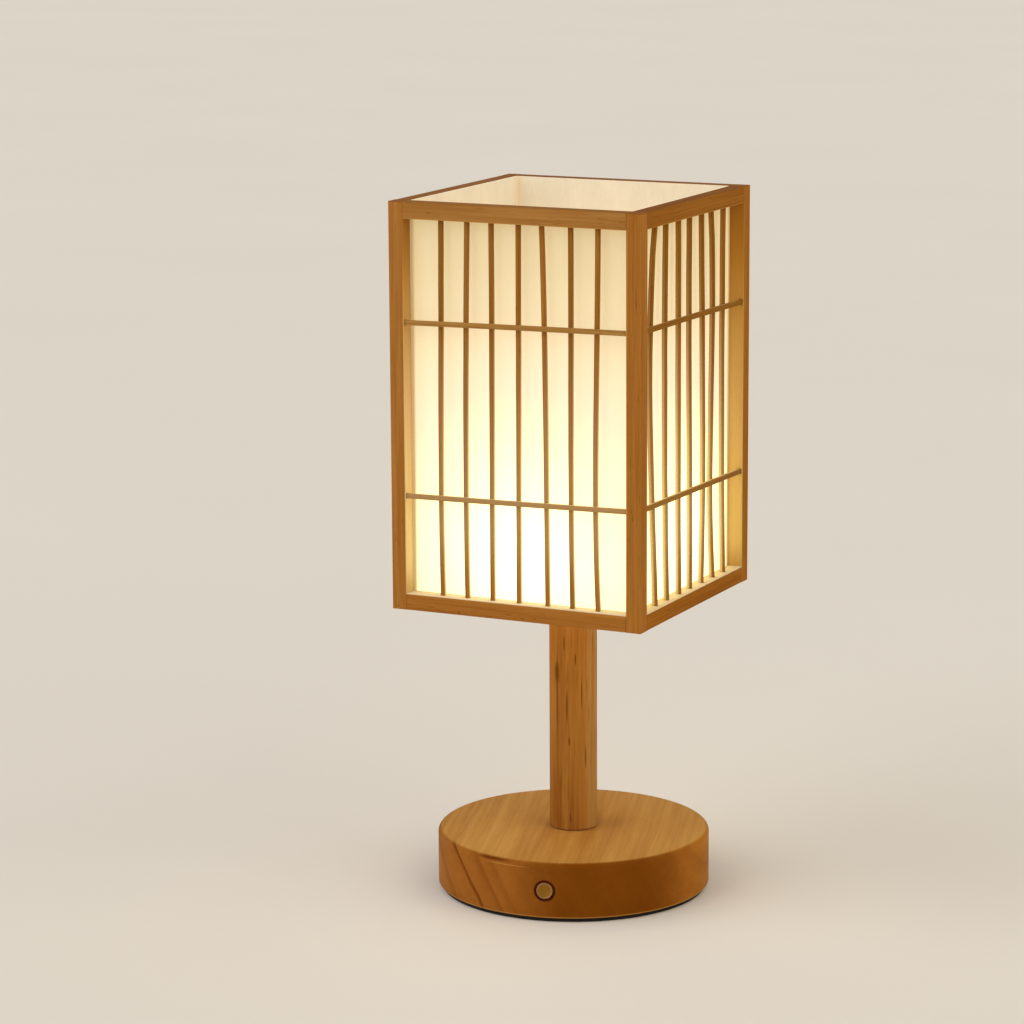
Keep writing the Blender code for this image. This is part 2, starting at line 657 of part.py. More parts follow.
def build_power(base):
    """Cell in its holder, control board and its screws."""
    holder = part("battery_holder", boxes("battery_holder", [
        ((cell_x - holder_width / 2, -holder_length / 2, holder_top_z - HOLDER_HEIGHT),
         (cell_x + holder_width / 2, holder_length / 2, holder_top_z))]), "black_plastic",
        parent=base)
    hollow = boxes("holder_hollow", [
        ((cell_x - CELL_DIAMETER / 2 - FIT, -holder_inside / 2,
          holder_top_z - HOLDER_HEIGHT - OVERSHOOT),
         (cell_x + CELL_DIAMETER / 2 + FIT, holder_inside / 2, holder_top_z - HOLDER_FLOOR))])
    combine(holder, helper("holder_hollow", hollow, base), "DIFFERENCE")

    cell_r = CELL_DIAMETER / 2
    nub_r = CELL_NUB_DIAMETER / 2
    end = CELL_LENGTH / 2
    can = [(0, end), (nub_r, end), (nub_r, end - CELL_NUB_HEIGHT),
           (cell_r - CELL_EDGE, end - CELL_NUB_HEIGHT),
           (cell_r, end - CELL_NUB_HEIGHT - CELL_EDGE), (cell_r, CELL_EDGE - end),
           (cell_r - CELL_EDGE, -end), (0, -end)]
    turned("battery_cell", can, "cell_sleeve", SMALL_STEPS, closed=False, parent=base,
           location=(cell_x, 0, cell_z), rotation=(-math.pi / 2, 0, 0))

    for name, side in (("positive", 1), ("negative", -1)):
        near = side * (CELL_LENGTH / 2 + FIT)
        far = side * (CELL_LENGTH / 2 + FIT + CONTACT_THICKNESS)
        plate = boxes("battery_contact", [
            ((cell_x - CONTACT_WIDTH / 2, min(near, far), cell_z - CONTACT_HEIGHT / 2),
             (cell_x + CONTACT_WIDTH / 2, max(near, far), cell_z + CONTACT_HEIGHT / 2))])
        part("battery_contact_" + name, plate, "steel", parent=base)

    board = part("control_board", boxes("control_board", [
        ((board_x - BOARD_WIDTH / 2, -BOARD_LENGTH / 2, board_z),
         (board_x + BOARD_WIDTH / 2, BOARD_LENGTH / 2, board_top_z))]), "board_green", parent=base)
    bite = BOARD_THICKNESS / 4
    coil_x = board_x - BLOCK_OFFSET
    chip_x = board_x + BLOCK_OFFSET
    soldered = boxes("soldered_parts", [
        ((coil_x - COIL_BLOCK_SIDE / 2, -COIL_BLOCK_SIDE / 2, board_z - COIL_BLOCK_HEIGHT),
         (coil_x + COIL_BLOCK_SIDE / 2, COIL_BLOCK_SIDE / 2, board_z + bite)),
        ((chip_x - CHIP_BLOCK_SIDE / 2, -CHIP_BLOCK_SIDE / 2, board_z - CHIP_BLOCK_HEIGHT),
         (chip_x + CHIP_BLOCK_SIDE / 2, CHIP_BLOCK_SIDE / 2, board_z + bite))])
    combine(board, helper("soldered_parts", soldered, base), "UNION")
    hole_r = BOARD_SCREW_DIAMETER / 2 + FIT
    holes = [(board_x, side * board_screw_y, board_z - OVERSHOOT, board_top_z + OVERSHOOT, hole_r)
             for side in (-1, 1)]
    combine(board, helper("board_holes", rods("board_holes", holes, FINE_STEPS), base),
            "DIFFERENCE")

    shank_r = BOARD_SCREW_DIAMETER / 2
    head_top_z = board_z - FIT
    tip_z = ceiling_z + BOARD_SCREW_BITE
    screw = [(0, tip_z), (shank_r, tip_z - shank_r), (shank_r, head_top_z),
             (BOARD_SCREW_HEAD / 2, head_top_z),
             (BOARD_SCREW_HEAD / 2, head_top_z - BOARD_SCREW_HEAD_HEIGHT),
             (0, head_top_z - BOARD_SCREW_HEAD_HEIGHT)]
    for number, side in enumerate((-1, 1), 1):
        turned("board_screw_%d" % number, screw, "steel", FINE_STEPS, closed=False, parent=base,
               location=(board_x, side * board_screw_y, 0))


def build_wires(base):
    """Wires from the board to the light, the cell, the switch and the socket."""
    grid = WIRE_GRID
    solder_z = board_z - FIT - WIRE_DIAMETER / 4
    low_z = solder_z - 4 * grid
    lead_x = board_x + BOARD_WIDTH / 2 - 3 * grid
    edge_y = BOARD_LENGTH / 2 - 2 * grid
    far_x = board_x - BOARD_WIDTH / 4

    for name, side, finish in (("positive", 1, "red_wire"), ("negative", -1, "black_wire")):
        lane = side * WIRE_SPACING / 2
        bend = smooth_route([
            (lead_x, side * 9 * grid, solder_z), (lead_x, side * 9 * grid, low_z),
            (-9 * grid, side * 6.5 * grid, low_z - 3 * grid),
            (-3 * grid, side * 3 * grid, low_z - 2.5 * grid),
            (0, lane, tube_z - 2 * grid), (0, lane, tube_z + 2 * grid)])
        bend.append(Vector((0, lane, led_board_z - FIT)))
        part("led_wire_" + name, tube_curve("led_wire", bend, WIRE_DIAMETER), finish, parent=base)

        end_y = side * (holder_length / 2 + FIT)
        route = smooth_route([
            (cell_x, end_y, cell_z), (cell_x - grid, end_y + side * 4 * grid, cell_z),
            (cell_x - 10 * grid, end_y + side * 6 * grid, cell_z - grid),
            (2 * grid, end_y - side * grid, low_z - grid),
            (lead_x - grid, side * (edge_y + 4 * grid), low_z - grid / 2),
            (lead_x, side * edge_y, low_z + grid), (lead_x, side * edge_y, solder_z)])
        part("battery_wire_" + name, tube_curve("battery_wire", route, WIRE_DIAMETER), finish,
             parent=base)

    switch_tail_y = -(button_face_y - barrel_end - 2 * FIT - SWITCH_TAIL)
    port_tail_y = port_face_y - port_end - FIT
    for number, lane in ((1, -TAIL_LANE), (2, TAIL_LANE)):
        finish = "red_wire" if number == 1 else "black_wire"
        land_x = far_x + LANDING_SPREAD * lane
        for name, tail_y, side in (("switch_wire_%d", switch_tail_y, -1),
                                   ("charging_wire_%d", port_tail_y, 1)):
            route = smooth_route([
                (lane, tail_y, BUTTON_HEIGHT), (lane, tail_y - side * 3 * grid, BUTTON_HEIGHT),
                (lane - 12 * grid, tail_y - side * (7 * grid + lane), BUTTON_HEIGHT - 2 * grid),
                (land_x + 3 * grid, side * (edge_y + 10 * grid), low_z - grid / 2),
                (land_x, side * (edge_y + grid), low_z + grid / 2),
                (land_x, side * edge_y, solder_z)])
            part(name % number, tube_curve(name % number, route, WIRE_DIAMETER), finish,
                 parent=base)


def build_post():
    """Turned post, the threaded tube through it, and the washers and nuts that clamp it."""
    post_r = POST_DIAMETER / 2
    edge = POST_EDGE_ROUND
    profile = arc(post_r - edge, post_top_z - edge, edge, 90, 0, 2)
    profile += arc(post_r - edge, post_z + edge, edge, 0, -90, 2)
    profile += [(tube_hole_r, post_z), (tube_hole_r, post_top_z)]
    turned("lamp_post", profile, "post_wood", LARGE_STEPS)

    bore_r = TUBE_BORE / 2
    turned("threaded_tube", [(tube_r, tube_top_z), (tube_r, tube_z), (bore_r, tube_z),
                             (bore_r, tube_top_z)], "steel", SMALL_STEPS)
    washer_r = WASHER_DIAMETER / 2
    for name, z in (("base_washer", base_washer_z), ("shade_washer", shade_washer_z)):
        turned(name, [(washer_r, z + WASHER_THICKNESS), (washer_r, z), (tube_hole_r, z),
                      (tube_hole_r, z + WASHER_THICKNESS)], "steel", SMALL_STEPS)
    for name, z in (("base_nut", base_nut_z), ("shade_nut", shade_nut_z),
                    ("light_cup_nut", cup_nut_z)):
        hex_nut(name, NUT_FLATS, NUT_HEIGHT, tube_hole_r, "steel",
                location=(0, 0, z + NUT_HEIGHT / 2))


def build_cross():
    """Two half-lapped bars between the bottom rails, which carry the shade on the post."""
    body = inner - FIT
    reach = inner + TENON_LENGTH - FIT
    wide = CROSS_WIDTH / 2
    tongue = wide - TENON_SHOULDER
    bars = (("cross_bar_wide", 0.0, (cross_mid_z - FIT / 2, cross_top_z + OVERSHOOT)),
            ("cross_bar_deep", math.pi / 2, (shade_z - OVERSHOOT, cross_mid_z + FIT / 2)))
    for name, turn, lap in bars:
        bar = part(name, boxes(name, [((-body, -wide, shade_z), (body, wide, cross_top_z))]),
                   "cross_wood", rotation=(0, 0, turn))
        tenons = boxes("cross_tenons", [
            ((min(side * (body - OVERSHOOT), side * reach), -tongue, shade_z + TENON_SHOULDER),
             (max(side * (body - OVERSHOOT), side * reach), tongue, cross_top_z - TENON_SHOULDER))
            for side in (-1, 1)])
        combine(bar, helper(name + "_tenons", tenons, rotation=(0, 0, turn)), "UNION")
        notch = boxes("cross_lap", [((-wide - FIT, -wide - OVERSHOOT, lap[0]),
                                     (wide + FIT, wide + OVERSHOOT, lap[1]))])
        combine(bar, helper(name + "_lap", notch, rotation=(0, 0, turn)), "DIFFERENCE")
        hole = rods("cross_hole", [(0, 0, shade_z - OVERSHOOT, cross_top_z + OVERSHOOT,
                                    tube_hole_r)], SMALL_STEPS)
        combine(bar, helper(name + "_hole", hole), "DIFFERENCE")


def tenon_span(low, high, upper):
    """Height range of a rail's stub tenon: upper half at its left end, lower half at its right."""
    middle = (low + high) / 2
    if upper:
        return middle + FIT, high - TENON_SHOULDER
    return low + TENON_SHOULDER, middle - FIT


def rail_mesh(low, high, slat_edge, slat_floor, carries_cross):
    """Rail of the front side between two heights, with tenons and sockets for the slats."""
    body = inner - FIT
    reach = inner + TENON_LENGTH - FIT
    rail = helper("rail", boxes("rail", [((-body, -half, low), (body, -inner, high))]))
    tenons = []
    for side, upper in ((-1, True), (1, False)):
        bottom, top = tenon_span(low, high, upper)
        near, far = side * (body - OVERSHOOT), side * reach
        tenons.append(((min(near, far), frame_y - TENON_THICKNESS / 2, bottom),
                       (max(near, far), frame_y + TENON_THICKNESS / 2, top)))
    tenon = helper("rail_tenons", boxes("rail_tenons", tenons))
    combine(rail, tenon, "UNION")
    side = socket_side / 2
    wide = SLAT_WIDTH / 2 + FIT
    sockets = [((x - wide, slat_y - side, min(slat_edge, slat_floor)),
                (x + wide, slat_y + side, max(slat_edge, slat_floor))) for x in slat_xs]
    if carries_cross:
        tongue = CROSS_WIDTH / 2 - TENON_SHOULDER + FIT
        sockets.append(((-tongue, -inner - TENON_LENGTH, shade_z + TENON_SHOULDER - FIT),
                        (tongue, OVERSHOOT - inner, cross_top_z - TENON_SHOULDER + FIT)))
    holes = helper("rail_sockets", boxes("rail_sockets", sockets))
    combine(rail, holes, "DIFFERENCE")
    return settled_mesh(rail, (tenon, holes))


def corner_post_mesh():
    """Left post of the front side, with mortises for the rails and sockets for the bars."""
    post = helper("post", boxes("post", [((-half, -half, shade_z), (-inner, -inner, shade_top_z))]))
    cuts = []
    rails = ((shade_z, bottom_rail_top_z), (top_rail_z, shade_top_z))
    thick = TENON_THICKNESS / 2 + FIT
    deep = -inner - TENON_LENGTH
    out = OVERSHOOT - inner
    for low, high in rails:
        bottom, top = tenon_span(low, high, True)
        cuts.append(((deep, frame_y - thick, bottom - FIT), (out, frame_y + thick, top + FIT)))
        bottom, top = tenon_span(low, high, False)
        cuts.append(((frame_y - thick, deep, bottom - FIT), (frame_y + thick, out, top + FIT)))
    side = socket_side / 2
    seat = -inner - STICK_SEAT
    for z in (lower_bar_z, upper_bar_z):
        cuts.append(((seat, bar_y - side, z - side), (out, bar_y + side, z + side)))
        cuts.append(((bar_y - side, seat, z - side), (bar_y + side, out, z + side)))
    holes = helper("post_mortises", boxes("post_mortises", cuts))
    combine(post, holes, "DIFFERENCE")
    return settled_mesh(post, (holes,))


def lattice_mesh():
    """Slats and bars of the front side, joined where they cross, ends in their sockets."""
    side = STICK / 2
    wide = SLAT_WIDTH / 2
    seat = STICK_SEAT - FIT
    slats = helper("slats", boxes("slats", [
        ((x - wide, slat_y - side, bottom_rail_top_z - seat),
         (x + wide, slat_y + side, top_rail_z + seat)) for x in slat_xs]))
    bars = helper("bars", boxes("bars", [
        ((-inner - seat, bar_y - side, z - side), (inner + seat, bar_y + side, z + side))
        for z in (lower_bar_z, upper_bar_z)]))
    combine(slats, bars, "UNION")
    return settled_mesh(slats, (bars,))


def build_shade_frame():
    """Four like sides: each with its left corner post, two rails and a lattice."""
    top_rail = rail_mesh(top_rail_z, shade_top_z, top_rail_z - OVERSHOOT,
                         top_rail_z + STICK_SEAT, False)
    bottom_rail = rail_mesh(shade_z, bottom_rail_top_z, bottom_rail_top_z + OVERSHOOT,
                            bottom_rail_top_z - STICK_SEAT, True)
    corner_post = corner_post_mesh()
    lattice = lattice_mesh()
    for number, (side, corner) in enumerate(zip(SIDES, CORNERS)):
        group = frame_empty(side + "_side", math.pi / 2 * number)
        part("corner_post_" + corner, corner_post.copy(), "frame_wood", parent=group)
        part("top_rail_" + side, top_rail.copy(), "frame_wood", parent=group)
        part("bottom_rail_" + side, bottom_rail.copy(), "frame_wood", parent=group)
        part("lattice_" + side, lattice.copy(), "stick_wood", parent=group)


def build_liner():
    """Translucent sheet folded into a square sleeve, standing on the cross bars."""
    outside = 2 * (inner - FIT)
    inside = outside - 2 * LINER_THICKNESS
    low = cross_top_z + FIT
    loops = [rounded_box(outside, outside, LINER_FOLD_RADIUS),
             rounded_box(inside, inside, LINER_FOLD_RADIUS - LINER_THICKNESS)]
    part("shade_liner", outline_curve("shade_liner", loops, shade_top_z - low), "liner_sheet",
         location=(0, 0, (shade_top_z + low) / 2))


def build_light():
    """Light cup on the tube, LED board on its ledge and the milky dome over it."""
    cup_r = CUP_DIAMETER / 2
    wall_r = cup_r - CUP_WALL
    ledge_r = wall_r - CUP_LEDGE
    turned("light_cup", [(cup_r, cup_top_z), (cup_r, cup_z), (tube_hole_r, cup_z),
                         (tube_hole_r, cup_z + CUP_FLOOR), (ledge_r, cup_z + CUP_FLOOR),
                         (ledge_r, cup_ledge_z), (wall_r, cup_ledge_z), (wall_r, cup_top_z)],
           "white_plastic", SMALL_STEPS)

    board_r = wall_r - FIT
    spot_r = LED_SPOT_DIAMETER / 2
    top = led_board_z + LED_BOARD_THICKNESS
    turned("led_board", [(0, top + LED_SPOT_HEIGHT), (spot_r, top + LED_SPOT_HEIGHT),
                         (spot_r, top), (board_r, top), (board_r, led_board_z), (0, led_board_z)],
           "board_white", SMALL_STEPS, closed=False)

    arcs = 8
    angles = [math.pi / 2 * (1 - i / arcs) for i in range(arcs + 1)]
    outer = [(cup_r * math.cos(a), dome_z + DOME_HEIGHT * math.sin(a)) for a in angles]
    inside_r = cup_r - DOME_WALL
    inside_height = DOME_HEIGHT - DOME_WALL
    shell = [(inside_r * math.cos(a), dome_z + inside_height * math.sin(a))
             for a in reversed(angles)]
    outer[0] = (0, outer[0][1])
    shell[-1] = (0, shell[-1][1])
    turned("diffuser_dome", outer + shell, "milky_plastic", SMALL_STEPS, closed=False)


clear_scene()
PARTS = collection("bamboo_table_lamp")
CUTTERS = collection("cutters")
base_group = frame_empty("base_turn", math.radians(BASE_TURN_DEG))
build_base(base_group)
build_switch(base_group)
build_charging_socket(base_group)
build_power(base_group)
build_wires(base_group)
build_post()
build_cross()
build_shade_frame()
build_liner()
build_light()
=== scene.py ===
"""Looks of the bamboo table lamp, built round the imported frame. Lengths are in metres."""
import logging
import math
import random
from collections.abc import Callable, Iterator, Sequence
from contextlib import contextmanager
from dataclasses import dataclass, field
from enum import Enum
from typing import Protocol

import bmesh
import bpy
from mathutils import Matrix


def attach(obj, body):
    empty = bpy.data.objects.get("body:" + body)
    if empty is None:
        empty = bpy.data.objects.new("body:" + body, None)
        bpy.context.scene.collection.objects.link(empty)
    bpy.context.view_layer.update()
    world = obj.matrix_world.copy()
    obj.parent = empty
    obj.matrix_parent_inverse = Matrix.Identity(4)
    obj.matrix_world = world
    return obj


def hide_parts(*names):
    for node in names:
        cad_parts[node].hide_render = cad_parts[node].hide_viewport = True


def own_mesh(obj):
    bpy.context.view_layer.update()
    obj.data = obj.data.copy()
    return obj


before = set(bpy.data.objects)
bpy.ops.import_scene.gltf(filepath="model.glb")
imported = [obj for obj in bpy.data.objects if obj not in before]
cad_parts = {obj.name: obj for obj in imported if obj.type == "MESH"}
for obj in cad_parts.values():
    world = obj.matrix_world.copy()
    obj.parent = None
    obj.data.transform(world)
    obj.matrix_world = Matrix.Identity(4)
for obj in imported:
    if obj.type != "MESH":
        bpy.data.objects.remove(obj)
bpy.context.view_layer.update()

LOG = logging.getLogger("bamboo_table_lamp")
SEED = 11
# Turn of the button and the inlet about the lamp's axis.
BASE_TURN = math.radians(13.0)
# Radius of the holes for the threaded tube.
TUBE_HOLE = 0.0053
# Gap round a fitting, reach of a cutter past a face, and distance that counts as none.
ROOM = 0.0003
PAST = 0.001
TOUCH = 2e-5
# Angles from which an edge is shaded as sharp, and from which it is rounded.
SHARP_ANGLE = math.radians(32.0)
ROUND_ANGLE = math.radians(40)

Piece = bpy.types.Object
Material = bpy.types.Material
Colour = tuple[float, float, float]
Linear = tuple[float, float, float, float]
Point = tuple[float, float, float]
Span = tuple[float, float]
Profile = list[Span]
Glow = tuple[tuple[float, Colour], ...]
EVEN: Colour = (1.0, 1.0, 1.0)


def linear(colour: Colour, gain: float = 1.0) -> Linear:
    """Turn an sRGB colour into a linear one.

    Args:
        colour: Channels from 0 to 255.
        gain: Factor on the linear channels.

    Returns:
        Linear channels with an alpha of 1.
    """
    shares = [c / 255 for c in colour]
    channels = [s / 12.92 if s <= 0.04045 else ((s + 0.055) / 1.055) ** 2.4 for s in shares]
    return (*(min(1.0, gain * c) for c in channels), 1.0)


def tinted(colour: Linear, tint: Colour) -> Linear:
    """A linear colour with a factor on each channel."""
    return (*(c * t for c, t in zip(colour, tint)), 1.0)


def oiled(sheen: float = 0.0, tint: Colour = EVEN) -> dict[str, float | Linear]:
    """Shader constants of an oiled wood.

    Args:
        sheen: Weight of its sheen, 0 for none.
        tint: Colour of the sheen.

    Returns:
        The constants by socket.
    """
    sockets = {"Specular IOR Level": 0.01, "Specular Tint": (1.0, 0.74, 0.40, 1.0)}
    if sheen:
        sockets |= {"Sheen Weight": sheen, "Sheen Roughness": 0.3, "Sheen Tint": (*tint, 1.0)}
    return sockets


def arc(centre: Span, radius: float, start: float, end: float, steps: int = 4) -> Profile:
    """Points of an arc in a turned profile.

    Args:
        centre: Radius and height of the arc's centre.
        radius: Radius of the arc.
        start: First angle in degrees, from the outward direction.
        end: Last angle in degrees.
        steps: Number of straight steps.

    Returns:
        The points as (radius, height).
    """
    angles = [math.radians(start + (end - start) * i / steps) for i in range(steps + 1)]
    return [(centre[0] + radius * math.cos(a), centre[1] + radius * math.sin(a)) for a in angles]


class Axis(Enum):
    """Direction of a piece's grain."""

    X = 0
    Y = 1
    Z = 2

    def stretch(self, across: float, along: float) -> Point:
        """Size of a grain feature on the three axes, long on this one."""
        return tuple(along if axis is self else across for axis in Axis)


class Side(Enum):
    """Sides of the shade, in order of their turn about the lamp's axis."""

    FRONT = 0
    RIGHT = 1
    BACK = 2
    LEFT = 3

    @property
    def label(self) -> str:
        """Name of the side as the frame's nodes use it."""
        return self.name.lower()

    @property
    def turn(self) -> float:
        """Angle about Z from the front to this side."""
        return math.pi / 2 * self.value

    @property
    def level_grain(self) -> Axis:
        """Axis of the rails and bars of this side."""
        return Axis.X if self.value % 2 == 0 else Axis.Y

    @property
    def outward(self) -> tuple[Axis, int]:
        """Axis across this side, and the sign of its outward direction."""
        across = Axis.Y if self.level_grain is Axis.X else Axis.X
        return across, -1 if self in (Side.FRONT, Side.LEFT) else 1


class Value:
    """A shader socket that takes part in Python arithmetic."""

    def __init__(self, surface: "Surface", socket: bpy.types.NodeSocket) -> None:
        """Wrap one output socket of a surface's nodes."""
        self.surface = surface
        self.socket = socket

    def math(self, operation: str, *others: "Value | float") -> "Value":
        """Result of a Math node whose first input is this value."""
        return self.surface.node("ShaderNodeMath", {"operation": operation},
                                 dict(enumerate((self, *others))))

    def __add__(self, other: "Value | float") -> "Value":
        """Sum."""
        return self.math("ADD", other)

    __radd__ = __add__

    def __sub__(self, other: "Value | float") -> "Value":
        """Difference."""
        return self.math("SUBTRACT", other)

    def __rsub__(self, other: float) -> "Value":
        """Difference from a number."""
        return self.surface.node("ShaderNodeMath", {"operation": "SUBTRACT"}, {0: other, 1: self})

    def __mul__(self, other: "Value | float") -> "Value":
        """Product."""
        return self.math("MULTIPLY", other)

    __rmul__ = __mul__

    def __truediv__(self, other: "Value | float") -> "Value":
        """Quotient."""
        return self.math("DIVIDE", other)

    def __pow__(self, other: float) -> "Value":
        """Power."""
        return self.math("POWER", other)

    def __abs__(self) -> "Value":
        """Size without sign."""
        return self.math("ABSOLUTE")

    def least(self, other: "Value | float") -> "Value":
        """Smaller of two values."""
        return self.math("MINIMUM", other)

    def most(self, other: "Value | float") -> "Value":
        """Larger of two values."""
        return self.math("MAXIMUM", other)

    def clamped(self) -> "Value":
        """Value kept between 0 and 1."""
        return self.most(0.0).least(1.0)

    def rise(self, low: float, high: float) -> "Value":
        """Smooth step from 0 at low to 1 at high."""
        return self.surface.node("ShaderNodeMapRange", {"interpolation_type": "SMOOTHSTEP"},
                                 {0: self, 1: low, 2: high})

    def fall(self, low: float, high: float) -> "Value":
        """Smooth step from 1 at low to 0 at high."""
        return 1 - self.rise(low, high)


class Surface:
    """A material that is being put together from shader nodes."""

    def __init__(self, name: str) -> None:
        """Start a material with one Principled shader.

        Args:
            name: Name of the material.
        """
        self.material = bpy.data.materials.new(name)
        self.material.use_nodes = True
        self.tree = self.material.node_tree
        self.shader = self.tree.nodes["Principled BSDF"]
        self.place = self.node("ShaderNodeTexCoord", output="Object")

    def node(self, kind: str, settings: dict | None = None, inputs: dict | None = None,
             output: int | str = 0) -> Value:
        """Add a node.

        Args:
            kind: Blender's type of the node.
            settings: Properties that are set first; stops are (position, linear colour) pairs.
            inputs: Numbers, vectors or values by socket name or index.
            output: Name or index of the output.

        Returns:
            That output as a value.
        """
        made = self.tree.nodes.new(kind)
        for key, setting in (settings or {}).items():
            if key == "stops":
                elements = made.color_ramp.elements
                while len(elements) < len(setting):
                    elements.new(1.0)
                for element, (position, colour) in zip(elements, setting):
                    element.position = position
                    element.color = colour
            else:
                setattr(made, key, setting)
        self.feed(made, inputs or {})
        return Value(self, made.outputs[output])

    def feed(self, node: bpy.types.Node, inputs: dict) -> None:
        """Link or set the sockets of a node.

        Args:
            node: The node.
            inputs: Numbers, vectors or values by socket name or index.
        """
        for key, given in inputs.items():
            if isinstance(given, Value):
                self.tree.links.new(given.socket, node.inputs[key])
            else:
                node.inputs[key].default_value = given

    def axes(self) -> tuple[Value, Value, Value]:
        """The three object coordinates as separate values."""
        parts = self.node("ShaderNodeSeparateXYZ", inputs={0: self.place}).socket.node
        return tuple(Value(self, output) for output in parts.outputs)

    def dot(self, vector: Value, direction: Point) -> Value:
        """Length of a vector along a direction."""
        return self.node("ShaderNodeVectorMath", {"operation": "DOT_PRODUCT"},
                         {0: vector, 1: direction}, "Value")

    def noise(self, size: Point | float, detail: float = 2.0, turn: float = 0.0,
              shift: Point = (0.0, 0.0, 0.0)) -> Value:
        """Noise with features of a given size.

        Args:
            size: Size of a feature, on all axes or on each of them.
            detail: Octaves of finer noise.
            turn: Angle about Z of the features' own axes.
            shift: Start of the pattern.

        Returns:
            The noise, about 0.5 on average.
        """
        scale = (size, size, size) if isinstance(size, float) else size
        vector = self.node("ShaderNodeMapping", {"vector_type": "TEXTURE"},
                           {"Vector": self.place, "Location": shift, "Rotation": (0, 0, turn),
                            "Scale": scale})
        return self.node("ShaderNodeTexNoise", inputs={"Vector": vector, "Scale": 1.0,
                                                       "Detail": detail})

    def mix(self, share: Value | float, first: Value | Linear, second: Value | Linear,
            blend: str = "MIX") -> Value:
        """Mix two colours by a share."""
        return self.node("ShaderNodeMix", {"data_type": "RGBA", "blend_type": blend},
                         {0: share, 6: first, 7: second}, 2)

    def ramp(self, share: Value, stops: Sequence[tuple[float, Linear]]) -> Value:
        """Colour from a ramp of (position, linear colour) stops."""
        return self.node("ShaderNodeValToRGB", {"stops": stops}, {0: share})

    def shades(self, share: Value, colour: Colour, darker: float, lighter: float) -> Value:
        """Colour that wavers between two gains of itself."""
        return self.ramp(share, [(0.3, linear(colour, darker)), (0.7, linear(colour, lighter))])

    def finish(self, sockets: dict, height: Value | None = None, depth: float = 0.0001,
               strength: float = 0.5) -> Material:
        """Set the shader's sockets.

        Args:
            sockets: Values and constants by the name of the socket.
            height: Height of the relief, if there is one.
            depth: Depth of the relief.
            strength: Strength of the relief.

        Returns:
            The finished material.
        """
        self.feed(self.shader, sockets)
        if height is not None:
            self.feed(self.shader, {"Normal": self.node(
                "ShaderNodeBump", inputs={"Strength": strength, "Distance": depth,
                                          "Height": height})})
        return self.material


class Finish(Protocol):
    """A finish, with the record's slot that it belongs to."""

    slot: str

    def material(self, name: str) -> Material:
        """Make a material of this finish."""


@dataclass(frozen=True)
class Member:
    """What sets one bamboo member apart from the others.

    Attributes:
        grain: Direction of its fibres.
        block: Lowest and highest corner, where its arrises show wear.
        marks: Single dark marks as (centre, half size).
        raw: Faces left raw and pale, with painted glow of the lamp on them, as the axis they cross
            and their place on it.
        window: Heights between which those faces show.
        crown: Height of a top face that is darker than the rest, as painted shade.
        skin: The only dark face, where the rest is raw and pale.
        tint: Factors on the linear channels of its colours, as painted light on front members and
            painted shade on right-side ones.
        raw_tint: The same for its raw colours.
        bleach: Share of painted glow of the lamp, in the pale raw colour, on a dark face low down.
    """

    grain: Axis
    block: tuple[Point, Point] | None = None
    marks: Sequence[tuple[Point, Point]] = ()
    raw: Sequence[tuple[Axis, float]] = ()
    window: Span = (0.0, 1.0)
    crown: float | None = None
    skin: tuple[Axis, float] | None = None
    tint: Colour = EVEN
    raw_tint: Colour = EVEN
    bleach: float = 0.0


